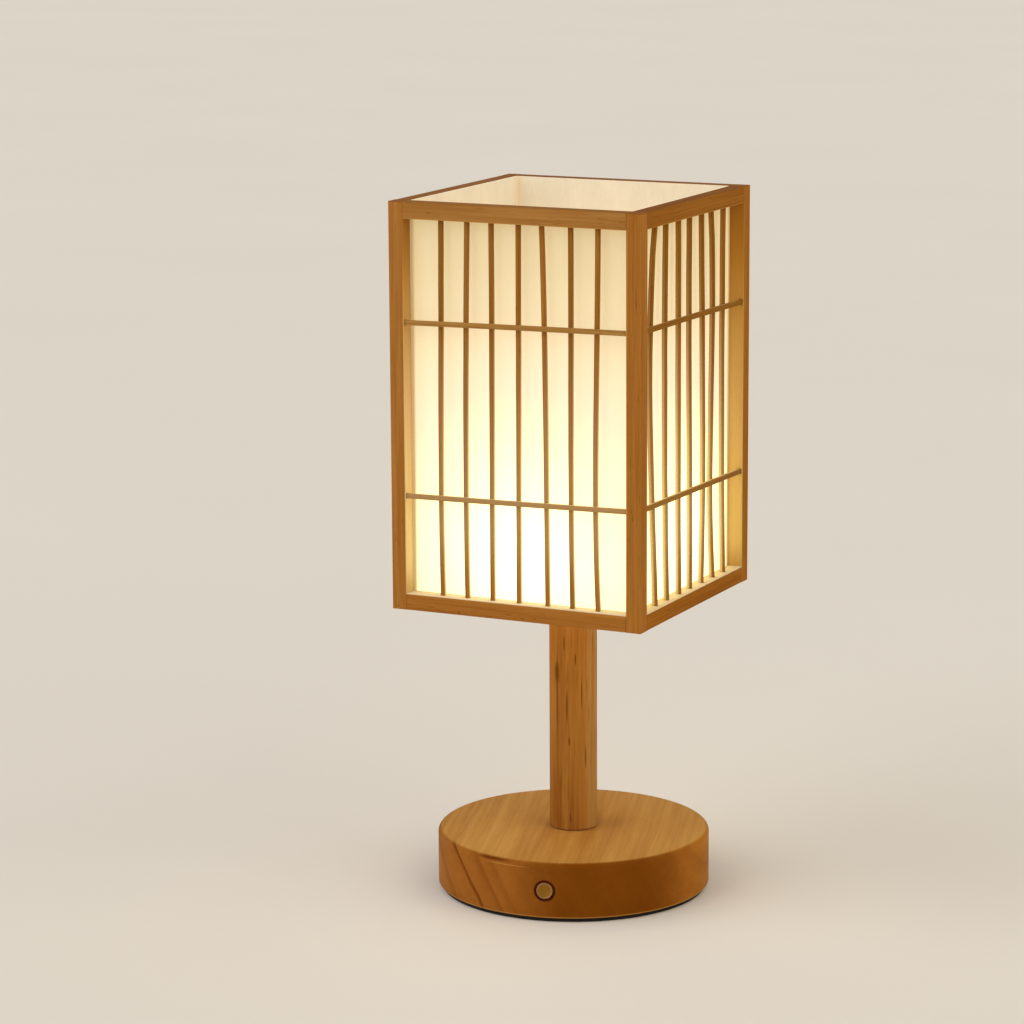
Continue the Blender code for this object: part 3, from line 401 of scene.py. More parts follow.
@dataclass(frozen=True)
class BambooFinish:
    """Planed bamboo with straight fibres and short dark flecks, raw and paler where it faces in,
    with painted glow and painted shade on those faces.
    """

    slot: str
    dark: Colour
    light: Colour
    fleck: Colour
    bundle: float = 0.0010
    roughness: float = 0.42
    spread: float = 0.05
    # Raw colours: pale raw bamboo with painted glow of the lamp, paler near the light and darker
    # higher up.
    raw_low: Colour = (230, 206, 150)
    raw_high: Colour = (196, 146, 66)
    raw_span: Span = (0.235, 0.37)
    # Painted shade on an upright's raw faces near the top and bottom rails.
    high_end: Span = (0.320, 0.375)
    low_end: Span = (0.174, 0.190)
    # Painted glow of the lamp on the sticks' dark faces: strongest low down, weaker at the very
    # foot.
    stick_foot: Span = (0.180, 0.212)
    bleach_span: Span = (0.19, 0.34)
    window_soft: Span = (0.0004, 0.0010)
    face_depth: Span = (0.0002, 0.0005)
    skin_depth: Span = (0.0004, 0.0016)
    crown_depth: Span = (0.0002, 0.0006)
    wear_width: Span = (0.0004, 0.0011)
    wear_waver: float = 0.0008
    spot_span: Span = (0.66, 0.76)
    spot_share: float = 0.45
    mark_share: float = 0.8
    raw_grain: float = 0.4
    end_shares: Span = (0.52, 0.35)
    foot_share: float = 0.2
    raw_share: float = 0.9
    crown_share: float = 0.42
    wear_share: float = 0.12
    pattern_reach: float = 3.0

    def flecks(self, member: Member, spots: Value, place: Sequence[Value]) -> Value:
        """Spread small flecks all over a member, and its own marks.

        Args:
            member: The member.
            spots: Noise of the small flecks.
            place: The three coordinates.

        Returns:
            The share of the flecks' colour.
        """
        flecks = spots.rise(*self.spot_span) * self.spot_share
        for centre, size in member.marks:
            offset = [(p - c) / s for p, c, s in zip(place, centre, size)]
            inside = offset[0] ** 2 + offset[1] ** 2 + offset[2] ** 2
            flecks = flecks.most(inside.fall(0.2, 1.0) * self.mark_share)
        return flecks

    def raw_colour(self, surface: Surface, member: Member, tone: Value, z: Value) -> Value:
        """Colour the raw faces with painted glow of the lamp, paler low down and darker upwards, and
        with painted shade at the ends of an upright.

        Args:
            surface: The material in the making.
            member: The member.
            tone: Lightness of its fibres.
            z: Height of a point.

        Returns:
            The colour.
        """
        low, high = (tinted(linear(c), member.raw_tint) for c in (self.raw_low, self.raw_high))
        # Painted glow of the lamp: paler low down, darker upwards.
        pale = surface.mix(z.rise(*self.raw_span), low, high)
        pale = surface.mix(self.raw_grain * (1 - tone), pale, linear(self.light))
        if member.block is None or member.grain is not Axis.Z:
            return pale
        # Painted shade where an upright meets the rails.
        upper, lower = self.end_shares
        ends = upper * z.rise(*self.high_end) + lower * z.fall(*self.low_end)
        return surface.mix(ends, pale, linear(self.dark))

    def bared(self, surface: Surface, member: Member, colour: Value, pale: Value,
              place: Sequence[Value]) -> Value:
        """Lay the raw colour, with its painted glow, on a member's raw faces and low on its dark
        faces, and darken its crown as painted shade.

        Args:
            surface: The material in the making.
            member: The member.
            colour: Its colour so far.
            pale: Its raw colour.
            place: The three coordinates.

        Returns:
            The new colour.
        """
        z = place[2]
        low, high = member.window
        near, far = self.window_soft
        shown = z.rise(low - far, low - near) * z.fall(high + near, high + far)
        for axis, depth in member.raw:
            facing = abs(place[axis.value] - depth).fall(*self.face_depth)
            colour = surface.mix(facing * shown, colour, pale)
        if member.skin is not None:
            axis, depth = member.skin
            # Painted glow of the lamp on a stick's dark faces, low down.
            foot = self.foot_share + (1 - self.foot_share) * z.rise(*self.stick_foot)
            colour = surface.mix(member.bleach * z.fall(*self.bleach_span) * foot, colour,
                                 linear(self.raw_low))
            behind = abs(place[axis.value] - depth).rise(*self.skin_depth)
            colour = surface.mix(self.raw_share * behind, colour, pale)
        # Painted shade on the top face.
        if member.crown is not None:
            top = abs(z - member.crown).fall(*self.crown_depth)
            colour = surface.mix(self.crown_share * top, colour, linear(self.fleck))
        return colour

    def wear(self, member: Member, bundle: Value, place: Sequence[Value]) -> Value:
        """Wear the long arrises of a member.

        Args:
            member: The member.
            bundle: Noise of its fibre bundles.
            place: The three coordinates.

        Returns:
            The share of the wear.
        """
        edge = [(b - a) / 2 - abs(p - (a + b) / 2) for p, a, b in zip(place, *member.block)]
        first, second = (edge[axis.value] for axis in Axis if axis is not member.grain)
        return (first.most(second) + self.wear_waver * bundle).fall(*self.wear_width)

    def material(self, name: str, member: Member, draw: random.Random) -> Material:
        """Make the material of one member.

        Args:
            name: Name of the member.
            member: What sets it apart.
            draw: Source of its own shade and of the start of its pattern.

        Returns:
            The material.
        """
        surface = Surface(name)
        reach = self.pattern_reach
        shift = tuple(draw.uniform(-reach, reach) for _ in range(3))
        gain = 1 + draw.uniform(-self.spread, self.spread)
        broad, bundle, fibre, spots = (
            surface.noise(member.grain.stretch(across, along), detail, shift=shift)
            for across, along, detail in ((0.007, 0.11, 2.0), (self.bundle, 0.07, 3.0),
                                          (self.bundle / 4, 0.02, 2.0),
                                          (self.bundle * 0.7, 0.008, 1.0)))
        tone = (0.75 * broad + 0.95 * bundle + 0.5 * fibre - 0.6).clamped()
        middle = tuple((a + b) / 2 for a, b in zip(self.dark, self.light))
        colour = surface.ramp(tone, [
            (position, tinted(linear(shade, gain), member.tint))
            for position, shade in ((0.1, self.dark), (0.5, middle), (0.9, self.light))])
        place = surface.axes()
        flecks = self.flecks(member, spots, place)
        colour = surface.mix(flecks, colour, linear(self.fleck))
        pale = self.raw_colour(surface, member, tone, place[2])
        colour = self.bared(surface, member, colour, pale, place)
        rough = self.roughness + 0.18 * (1 - tone) + 0.1 * flecks
        if member.block is not None:
            wear = self.wear(member, bundle, place)
            colour = surface.mix(self.wear_share * wear, colour, linear(self.light, 1.2))
            rough = rough - 0.08 * wear
        return surface.finish({"Base Color": colour, "Roughness": rough, **oiled()},
                              0.6 * fibre + 0.6 * bundle - flecks, depth=0.00025, strength=0.35)


@dataclass(frozen=True)
class TurnedBaseFinish:
    """Flat-sawn wood of the base: growth sheets that cut the top and run down the side.

    A line is the place of a growth sheet, its width and its share. A stroke is its first and last
    angle in degrees, its height and its half width. Rim and stroke spans are depths from the rim.
    """

    slot: str = "base_wood"
    dark: Colour = (153, 98, 33)
    light: Colour = (200, 151, 76)
    line: Colour = (96, 46, 6)
    # Rim colour: darker than the top as painted shade.
    side: Colour = (155, 93, 33)
    # Painted light: a paler rim on the right part of the base.
    far_side: Colour = (169, 107, 33)
    far_span: Span = (math.radians(58.0), math.radians(100.0))
    # Darker end grain, deepened by painted shade where the rim faces the front.
    end_grain: Colour = (116, 60, 4)
    end_turn: float = math.radians(39.0)
    end_span: Span = (0.70, 0.99)
    sheet_normal: Point = (0.841, 0.270, 0.468)
    sheet_pitch: float = 0.0105
    fibre_turn: float = math.radians(-72.2)
    lines: tuple[Point, ...] = (
        (-0.0361, 0.0008, 0.85), (-0.0253, 0.0013, 0.32), (-0.0184, 0.0018, 0.20),
        (-0.0500, 0.0014, 0.30), (0.0080, 0.0022, 0.12), (0.0290, 0.0018, 0.12),
        (0.0520, 0.0020, 0.14), (0.0745, 0.0016, 0.20))
    radius: float = 0.075
    rim_span: Span = (0.0027, 0.0008)
    stroke_span: Span = (0.0026, 0.0020)
    # Painted reflection of the floor: a pale line round the foot of the rim.
    foot_span: Span = (0.0027, 0.0036)
    edge_line: tuple[float, float, float, float] = (-22.0, 1.0, 0.0320, 0.0012)
    edge_gleam: tuple[float, float, float, float] = (-17.0, 9.0, 0.0300, 0.0004)
    stroke_fade: float = math.radians(9.0)
    side_share: float = 0.95
    foot_share: float = 0.45
    line_share: float = 0.9
    gleam_share: float = 0.4
    pore_share: float = 0.22

    def stroke(self, angle: Value, height: Value,
               place: tuple[float, float, float, float]) -> Value:
        """Draw a soft level stroke round the rim.

        Args:
            angle: Angle about the lamp's axis, from the front.
            height: Height of a point.
            place: The stroke.

        Returns:
            The share of the stroke's colour.
        """
        start, end, middle, half = place
        first, last, fade = math.radians(start), math.radians(end), self.stroke_fade
        length = angle.rise(first, first + fade) * angle.fall(last - fade, last)
        return length * abs(height - middle).fall(0.2 * half, half)

    def side_colour(self, surface: Surface, tone: Value, angle: Value,
                    place: Sequence[Value]) -> Value:
        """Colour the side with painted shade, darker than the top, with painted light on its right
        part and darker end grain, deepened by painted shade, at two opposite places.

        Args:
            surface: The material in the making.
            tone: Lightness of the fibres.
            angle: Angle about the lamp's axis, from the front.
            place: The three coordinates.

        Returns:
            The colour.
        """
        turn = self.end_turn
        end = abs(place[0] * math.sin(turn) - place[1] * math.cos(turn)) / self.radius
        # Painted light on the right part of the rim.
        side = surface.mix(angle.rise(*self.far_span), linear(self.side), linear(self.far_side))
        # Darker end grain, deepened by painted shade.
        side = surface.mix(end.rise(*self.end_span), side, linear(self.end_grain))
        return surface.mix(0.25 * tone.fall(0.2, 0.8), side, linear(self.line))

    def growth_lines(self, sheet: Value, streak: Value, rim: Value) -> Value:
        """Draw the dark lines, each sharp on one side, stronger on the rim.

        Args:
            sheet: Place of a point across the growth sheets.
            streak: Noise that breaks the lines.
            rim: Share of the rim.

        Returns:
            The share of the lines' colour.
        """
        mask = None
        for place, width, share in self.lines:
            offset = sheet - place
            soft = offset.rise(-3.2 * width, -0.4 * width) * offset.fall(-0.1 * width, 0.5 * width)
            drawn = soft * share * (0.4 + 0.6 * streak) * (0.30 + rim)
            mask = drawn if mask is None else mask.most(drawn)
        return mask.least(1.0)

    def material(self, name: str) -> Material:
        """Make the material of the base.

        Args:
            name: Name of the material.

        Returns:
            The material.
        """
        surface = Surface(name)
        x, y, z = surface.axes()
        away = (x * x + y * y).math("SQRT")
        angle = x.math("ARCTAN2", y * -1)
        streak, fibre, broad, pores = (
            surface.noise((along, across, across), detail, self.fibre_turn)
            for along, across, detail in ((0.10, 0.0026, 3.0), (0.022, 0.0005, 2.0),
                                          (0.16, 0.022, 1.0), (0.006, 0.0006, 1.0)))
        pores = pores.rise(0.64, 0.74)
        warp, ripple = surface.noise(0.055), surface.noise(0.012, 1.0)
        sheet = (surface.dot(surface.place, self.sheet_normal) + 0.009 * (warp - 0.5)
                 + 0.0012 * (ripple - 0.5))
        bands = (sheet * (2 * math.pi / self.sheet_pitch)).math("SINE") * 0.5 + 0.5
        tone = (0.8 * broad + 0.6 * streak + 0.3 * fibre - 0.10 * bands - 0.32).clamped()
        rim, outer = (away.rise(*(self.radius - depth for depth in span))
                      for span in (self.rim_span, self.stroke_span))
        colour = surface.ramp(tone, [(0.08, linear(self.dark)), (0.92, linear(self.light))])
        side = self.side_colour(surface, tone, angle, (x, y, z))
        # The rim takes its darker side colour, painted shade.
        colour = surface.mix(self.side_share * rim, colour, side)
        layers = ((self.growth_lines(sheet, streak, rim), linear(self.line)),
                  # Painted reflection of the floor along the foot of the rim.
                  (self.foot_share * z.fall(*self.foot_span), linear(self.light, 1.2)),
                  (self.line_share * outer * self.stroke(angle, z, self.edge_line),
                   linear(self.line)),
                  (self.gleam_share * outer * self.stroke(angle, z, self.edge_gleam),
                   linear(self.light)),
                  (self.pore_share * pores, linear(self.line)))
        for share, shade in layers:
            colour = surface.mix(share, colour, shade)
        rough = 0.40 + 0.14 * (1 - tone) + 0.12 * pores
        return surface.finish({"Base Color": colour, "Roughness": rough,
                               **oiled(0.10, (1.0, 0.80, 0.50))},
                              0.6 * fibre + 0.3 * streak - 0.5 * pores, depth=0.0002, strength=0.3)


@dataclass(frozen=True)
class TurnedPostFinish:
    """Straight-grained wood of the post with dark streaks, some at known places, and painted light
    at its top and down its right side.

    A fleck is its angle from the front in degrees, its height, half width and half length.
    """

    slot: str = "post_wood"
    dark: Colour = (131, 74, 21)
    light: Colour = (179, 124, 56)
    fleck: Colour = (104, 56, 10)
    radius: float = 0.0131
    # Painted light: the post is paler at its top, under the shade.
    shaded: Span = (0.132, 0.166)
    # Painted light: a paler band down the post's right side.
    sapwood: Colour = (1.10, 1.36, 2.0)
    sapwood_start: Span = (math.radians(48.0), math.radians(74.0))
    sapwood_end: Span = (math.radians(125.0), math.radians(160.0))
    flecks: tuple[tuple[float, float, float, float], ...] = (
        (-17.5, 0.1226, 0.0021, 0.0078), (-17.0, 0.1080, 0.0005, 0.0300),
        (9.5, 0.1040, 0.0007, 0.0120),
        (45.5, 0.1100, 0.0005, 0.0110), (2.4, 0.1393, 0.0005, 0.0055),
        (30.5, 0.1304, 0.0006, 0.0040), (15.3, 0.0842, 0.0006, 0.0032),
        (56.0, 0.0750, 0.0005, 0.0080), (17.9, 0.0405, 0.0005, 0.0034),
        (150.0, 0.1180, 0.0009, 0.0070), (-140.0, 0.0760, 0.0006, 0.0100))

    def material(self, name: str) -> Material:
        """Make the material of the post.

        Args:
            name: Name of the material.

        Returns:
            The material.
        """
        surface = Surface(name)
        x, y, z = surface.axes()
        broad, streak, fibre, thin = (
            surface.noise(Axis.Z.stretch(across, along), detail)
            for across, along, detail in ((0.008, 0.16, 2.0), (0.0017, 0.07, 3.0),
                                          (0.0004, 0.016, 2.0), (0.0009, 0.022, 1.0)))
        tone = (0.8 * broad + 0.95 * streak + 0.45 * fibre - 0.6).clamped()
        colour = surface.ramp(tone, [(0.08, linear(self.dark)), (0.92, linear(self.light))])
        # Painted light at the top of the post.
        colour = surface.mix(0.45 * z.rise(*self.shaded), colour, linear(self.light, 1.1))
        angle = x.math("ARCTAN2", y * -1)
        # Painted light down the post's right side.
        right_light = angle.rise(*self.sapwood_start) * angle.fall(*self.sapwood_end)
        colour = surface.mix(right_light, colour, (*self.sapwood, 1.0), "MULTIPLY")
        mask = thin.rise(0.62, 0.74) * 0.4
        for degrees, height, half_width, half_length in self.flecks:
            across = (angle - math.radians(degrees)) * (self.radius / half_width)
            length = (z - height) / half_length
            inside = across * across + length * length
            mask = mask.most((inside + 0.8 * (fibre - 0.5)).fall(0.1, 1.1) * 0.8)
        colour = surface.mix(mask, colour, linear(self.fleck))
        rough = 0.42 + 0.16 * (1 - tone) + 0.1 * mask
        return surface.finish({"Base Color": colour, "Roughness": rough,
                               **oiled(0.05, (1.0, 0.82, 0.55))},
                              0.6 * fibre + 0.5 * streak - 0.6 * mask, depth=0.00025, strength=0.35)


@dataclass(frozen=True)
class SheetFinish:
    """One face of the pale translucent sheet, which glows round the light behind it."""

    pale: Colour
    glow: Glow
    slot: str = "liner_sheet"
    strength: float = 5.0
    light_height: float = 0.197
    fold_span: Span = (0.0616, 0.0636)
    fold_glow: Colour = (0.25, 0.18, 0.06)
    crease_span: Span = (0.0570, 0.0636)
    crease: Colour = (214, 190, 140)

    def lit(self, glow: Colour) -> Linear:
        """Emission colour of a glow at this sheet's strength."""
        return (*(c / self.strength for c in glow), 1.0)

    def material(self, name: str) -> Material:
        """Make the material of this face.

        Args:
            name: Name of the material.

        Returns:
            The material.
        """
        surface = Surface(name)
        x, y, z = surface.axes()
        rise = z - self.light_height
        distance = (x * x + y * y + rise * rise).math("SQRT")
        near, far = self.glow[0][0], self.glow[-1][0]
        mottle = surface.noise((0.010, 0.010, 0.030), 3.0)
        strands = surface.noise((0.0006, 0.0006, 0.0040))
        drape = surface.noise((0.007, 0.007, 0.16))
        wander = 0.006 * (mottle - 0.5) + 0.010 * (drape - 0.5)
        light = surface.ramp((distance + wander - near) / (far - near), [
            ((away - near) / (far - near), self.lit(glow)) for away, glow in self.glow])
        corner = abs(x).least(abs(y))
        light = surface.mix(corner.rise(*self.fold_span), light, self.lit(self.fold_glow))
        paper = surface.shades(0.6 * mottle + 0.4 * strands, self.pale, 0.92, 1.08)
        paper = surface.mix(0.3 * corner.rise(*self.crease_span), paper, linear(self.crease))
        return surface.finish({"Base Color": paper, "Roughness": 0.55 + 0.2 * strands,
                               "Specular IOR Level": 0.2, "Emission Color": light,
                               "Emission Strength": self.strength},
                              strands + 0.5 * mottle, depth=0.0001, strength=0.25)


@dataclass(frozen=True)
class DomeFinish:
    """Milky plastic over the light, brightest at its crown."""

    slot: str = "milky_plastic"
    pale: Colour = (240, 232, 214)
    foot_glow: Linear = (0.55, 0.42, 0.24, 1.0)
    crown_glow: Linear = (1.0, 0.88, 0.62, 1.0)
    low: float = 0.1866
    high: float = 0.2126
    strength: float = 2.6

    def material(self, name: str) -> Material:
        """Make the material of the dome.

        Args:
            name: Name of the material.

        Returns:
            The material.
        """
        surface = Surface(name)
        height = surface.axes()[2]
        cloud = surface.noise(0.004)
        share = (height - self.low) / (self.high - self.low) + 0.08 * (cloud - 0.5)
        glow = surface.ramp(share, [(0.0, self.foot_glow), (0.7, self.crown_glow)])
        return surface.finish({"Base Color": surface.shades(cloud, self.pale, 0.95, 1.03),
                               "Roughness": 0.34 + 0.1 * cloud, "Emission Color": glow,
                               "Emission Strength": self.strength})


@dataclass(frozen=True)
class PlasticFinish:
    """Moulded or foamed plastic with a fine surface grain."""

    slot: str
    colour: Colour
    roughness: float = 0.45
    cell: float = 0.0005
    relief: float = 0.00005
    spread: float = 0.12

    def material(self, name: str) -> Material:
        """Make the material of one piece.

        Args:
            name: Name of the material.

        Returns:
            The material.
        """
        surface = Surface(name)
        grain, cloud = surface.noise(self.cell, 3.0), surface.noise(0.012)
        colour = surface.shades(0.6 * cloud + 0.4 * grain, self.colour, 1 - self.spread,
                                1 + self.spread)
        return surface.finish({"Base Color": colour,
                               "Roughness": self.roughness + 0.25 * (grain - 0.5)},
                              grain, depth=self.relief, strength=0.4)


@dataclass(frozen=True)
class MetalFinish:
    """Metal with fine tool marks and dull spots."""

    slot: str
    colour: Colour
    roughness: float = 0.35
    metallic: float = 1.0
    marks: Point = (0.0004, 0.0004, 0.004)
    gloss: float = 0.5

    def material(self, name: str) -> Material:
        """Make the material of one piece.

        Args:
            name: Name of the material.

        Returns:
            The material.
        """
        surface = Surface(name)
        marks, dull = surface.noise(self.marks), surface.noise(0.003, 3.0)
        colour = surface.shades(0.5 * marks + 0.5 * dull, self.colour, 0.86, 1.1)
        rough = self.roughness + 0.22 * (dull - 0.5) + 0.16 * (marks - 0.5)
        return surface.finish({"Base Color": colour, "Roughness": rough,
                               "Metallic": self.metallic,
                               "Specular IOR Level": self.gloss}, marks, depth=0.00004, strength=0.3)


STEEL = MetalFinish("steel", (172, 172, 168), 0.34)


@dataclass(frozen=True)
class SpunCapFinish:
    """Brass cap with turning rings, a darker middle and a pale rim that is partly wear and partly
    painted highlight.
    """

    slot: str = "button_brass"
    middle: Colour = (142, 98, 20)
    rim: Colour = (164, 118, 88)
    ring: float = 0.00035
    ring_waver: float = 0.0001
    # Pale rim: partly wear of the brass, partly painted highlight.
    worn_start: Span = (0.0012, 0.0007)
    worn_end: Span = (0.0004, 0.0)

    def material(self, name: str, centre: Point, radius: float) -> Material:
        """Make the material of a cap.

        Args:
            name: Name of the material.
            centre: Centre of the cap's face.
            radius: Radius of the cap.

        Returns:
            The material.
        """
        surface = Surface(name)
        offset = surface.node("ShaderNodeVectorMath", {"operation": "SUBTRACT"},
                              {0: surface.place, 1: centre})
        depth = surface.dot(offset, (-math.sin(BASE_TURN), math.cos(BASE_TURN), 0.0))
        length = surface.node("ShaderNodeVectorMath", {"operation": "LENGTH"}, {0: offset}, "Value")
        away = (length * length - depth * depth).most(0.0).math("SQRT")
        dull = surface.noise(0.0012, 3.0)
        rings = ((away + self.ring_waver * dull) * (2 * math.pi / self.ring)).math("SINE")
        # Pale rim: wear and painted highlight.
        worn_gleam = away.rise(*(radius - inset for inset in self.worn_start))
        worn_gleam = worn_gleam * away.fall(*(radius - inset for inset in self.worn_end))
        colour = surface.mix((0.6 * worn_gleam + 0.3 * (dull - 0.5)).most(0.0), linear(self.middle),
                             linear(self.rim))
        return surface.finish({"Base Color": colour, "Metallic": 0.75,
                               "Roughness": 0.46 + 0.2 * (dull - 0.5) - 0.1 * worn_gleam},
                              0.3 * rings + dull, depth=0.00004, strength=0.3)


@dataclass(frozen=True)
class BoardFinish:
    """Printed board with paler copper tracks under its lacquer."""

    slot: str
    colour: Colour
    track: Colour
    pitch: float = 0.0022
    wander: float = 0.012

    def material(self, name: str) -> Material:
        """Make the material of one board.

        Args:
            name: Name of the material.

        Returns:
            The material.
        """
        surface = Surface(name)
        x, y, _ = surface.axes()
        bend = surface.noise(self.wander, 0.0)
        lane = ((x + 0.5 * y + self.wander * bend) * (2 * math.pi / self.pitch)).math("SINE")
        tracks = lane.rise(0.55, 0.75)
        cloud = surface.noise(0.006)
        plain = surface.shades(cloud, self.colour, 0.9, 1.1)
        colour = surface.mix(0.6 * tracks, plain, linear(self.track))
        return surface.finish({"Base Color": colour, "Roughness": 0.42 + 0.15 * cloud},
                              tracks, depth=0.00004, strength=0.5)


class Bench:
    """Modelling moves made with Blender's own operators."""

    @staticmethod
    def focus(piece: Piece) -> None:
        """Make one piece the only selected object.

        Args:
            piece: The piece.
        """
        bpy.ops.object.select_all(action="DESELECT")
        bpy.context.view_layer.objects.active = piece
        piece.select_set(True)

    @staticmethod
    def put(piece: Piece, place: Point = (0, 0, 0), turn: Point = (0, 0, 0)) -> Piece:
        """Turn and move a piece, and put its place into its mesh.

        Args:
            piece: The piece.
            place: Where it moves to.
            turn: Its turn about the three axes.

        Returns:
            The piece.
        """
        piece.location = place
        piece.rotation_euler = turn
        Bench.focus(piece)
        bpy.ops.object.transform_apply(location=True, rotation=True, scale=True)
        return piece

    @staticmethod
    def named(name: str) -> Piece:
        """Name the object that was just made, and put its place into its mesh.

        Args:
            name: The name.

        Returns:
            The object.
        """
        piece = bpy.context.object
        piece.name = piece.data.name = name
        bpy.ops.object.transform_apply(location=True, rotation=True, scale=True)
        return piece

    @staticmethod
    @contextmanager
    def editing(piece: Piece, kind: str) -> Iterator[None]:
        """Edit one piece with nothing selected at first.

        Args:
            piece: The piece.
            kind: VERT, EDGE or FACE.
        """
        Bench.focus(piece)
        bpy.ops.object.mode_set(mode="EDIT")
        bpy.ops.mesh.select_mode(type=kind)
        bpy.ops.mesh.select_all(action="DESELECT")
        yield
        bpy.ops.object.mode_set(mode="OBJECT")

    @staticmethod
    def pick(piece: Piece, kind: str, test: Callable[..., bool]) -> None:
        """Select by a test on place or normal.

        Args:
            piece: The piece in edit mode.
            kind: verts, edges or faces.
            test: True for what is to be selected.
        """
        mesh = bmesh.from_edit_mesh(piece.data)
        for element in getattr(mesh, kind):
            element.select_set(False)
        for element in getattr(mesh, kind):
            if test(element):
                element.select_set(True)
        mesh.select_flush_mode()
        bmesh.update_edit_mesh(piece.data)

    @staticmethod
    def runs(edge: bmesh.types.BMEdge, along: Axis, length: float) -> bool:
        """Tell whether an edge is longer than a length along an axis."""
        return abs((edge.verts[0].co - edge.verts[1].co)[along.value]) > length

    @staticmethod
    def block(name: str, low: Sequence[float], high: Sequence[float]) -> Piece:
        """Box between two corners, as the start of a piece.

        Args:
            name: Name of the piece.
            low: Its lowest corner.
            high: Its highest corner.

        Returns:
            The piece.
        """
        centre = [(a + b) / 2 for a, b in zip(low, high)]
        bpy.ops.mesh.primitive_cube_add(size=1, location=centre,
                                        scale=[b - a for a, b in zip(low, high)])
        return Bench.named(name)

    @staticmethod
    def turned(name: str, profile: Profile, steps: int, closed: bool = False) -> Piece:
        """Turn a profile by extruding a ring along it.

        Args:
            name: Name of the piece.
            profile: Points as (radius, height).
            steps: Segments of the ring.
            closed: True where the profile runs back to its first point.

        Returns:
            The piece, on the Z axis.
        """
        pole = 1e-6
        points = [(max(r, pole), z) for r, z in profile]
        if closed:
            points.append(points[0])
        radius, height = points[0]
        bpy.ops.mesh.primitive_circle_add(vertices=steps, radius=radius, location=(0, 0, height))
        piece = Bench.named(name)
        with Bench.editing(piece, "EDGE"):
            bpy.ops.mesh.select_all(action="SELECT")
            for (old_r, old_z), (new_r, new_z) in zip(points, points[1:]):
                bpy.ops.mesh.extrude_edges_move(
                    TRANSFORM_OT_translate={"value": (0, 0, new_z - old_z)})
                bpy.ops.transform.resize(value=(new_r / old_r, new_r / old_r, 1),
                                         center_override=(0, 0, new_z))
            bpy.ops.mesh.select_all(action="SELECT")
            bpy.ops.mesh.remove_doubles(threshold=5 * pole)
            bpy.ops.mesh.normals_make_consistent(inside=False)
        return piece

    @staticmethod
    def rod(name: str, radius: float, low: float, high: float, steps: int) -> Piece:
        """Upright rod on the Z axis, as a cutter for a hole."""
        return Bench.turned(name, [(0, low), (radius, low), (radius, high), (0, high)], steps)

    @staticmethod
    def copy(piece: Piece, name: str, turn: float = 0.0) -> Piece:
        """Copy a piece with a mesh of its own.

        Args:
            piece: The piece.
            name: Name of the copy.
            turn: Turn of the copy about the lamp's axis.

        Returns:
            The copy.
        """
        Bench.focus(piece)
        bpy.ops.object.duplicate(linked=False)
        made = bpy.context.object
        made.name = made.data.name = name
        return Bench.put(made, turn=(0, 0, turn))

    @staticmethod
    def discard(*pieces: Piece) -> None:
        """Remove pieces that were only a start or a cutter."""
        for piece in pieces:
            bpy.data.objects.remove(piece, do_unlink=True)

    @staticmethod
    def apply(piece: Piece, kind: str, **settings: object) -> None:
        """Add a modifier and apply it.

        Args:
            piece: The piece.
            kind: Blender's type of the modifier.
            settings: Its settings.
        """
        Bench.focus(piece)
        modifier = piece.modifiers.new(kind.lower(), kind)
        for key, setting in settings.items():
            setattr(modifier, key, setting)
        bpy.ops.object.modifier_apply(modifier=modifier.name)

    @staticmethod
    def soften(piece: Piece, width: float) -> None:
        """Round the edges of a piece."""
        Bench.apply(piece, "BEVEL", width=width, segments=2, limit_method="ANGLE",
                    angle_limit=ROUND_ANGLE)

    @staticmethod
    def cut(piece: Piece, *cutters: Piece) -> None:
        """Cut pieces out of another and remove them.

        Args:
            piece: The piece that is cut.
            cutters: What is cut out of it.
        """
        for cutter in cutters:
            Bench.apply(piece, "BOOLEAN", operation="DIFFERENCE", solver="EXACT", object=cutter)
            Bench.discard(cutter)

    @staticmethod
    def smooth(piece: Piece) -> Piece:
        """Shade a piece smooth, apart from its sharp edges.

        Args:
            piece: The piece.

        Returns:
            The piece.
        """
        Bench.focus(piece)
        bpy.ops.object.shade_smooth_by_angle(angle=SHARP_ANGLE)
        return piece


def fit(piece: Piece, finish: Finish, *nodes: str, body: str = "lamp",
        material: Material | None = None) -> Piece:
    """Dress a finished piece and let it stand for nodes of the frame.

    Args:
        piece: The piece.
        finish: Its finish.
        nodes: The nodes that it stands for.
        body: The body that it rides on.
        material: Its material, where the finish has to know more than its name.

    Returns:
        The piece.
    """
    piece.data.materials.clear()
    piece.data.materials.append(material or finish.material(piece.name))
    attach(piece, body)
    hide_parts(*nodes)
    LOG.info("%s: %d faces", piece.name, len(piece.data.polygons))
    return piece


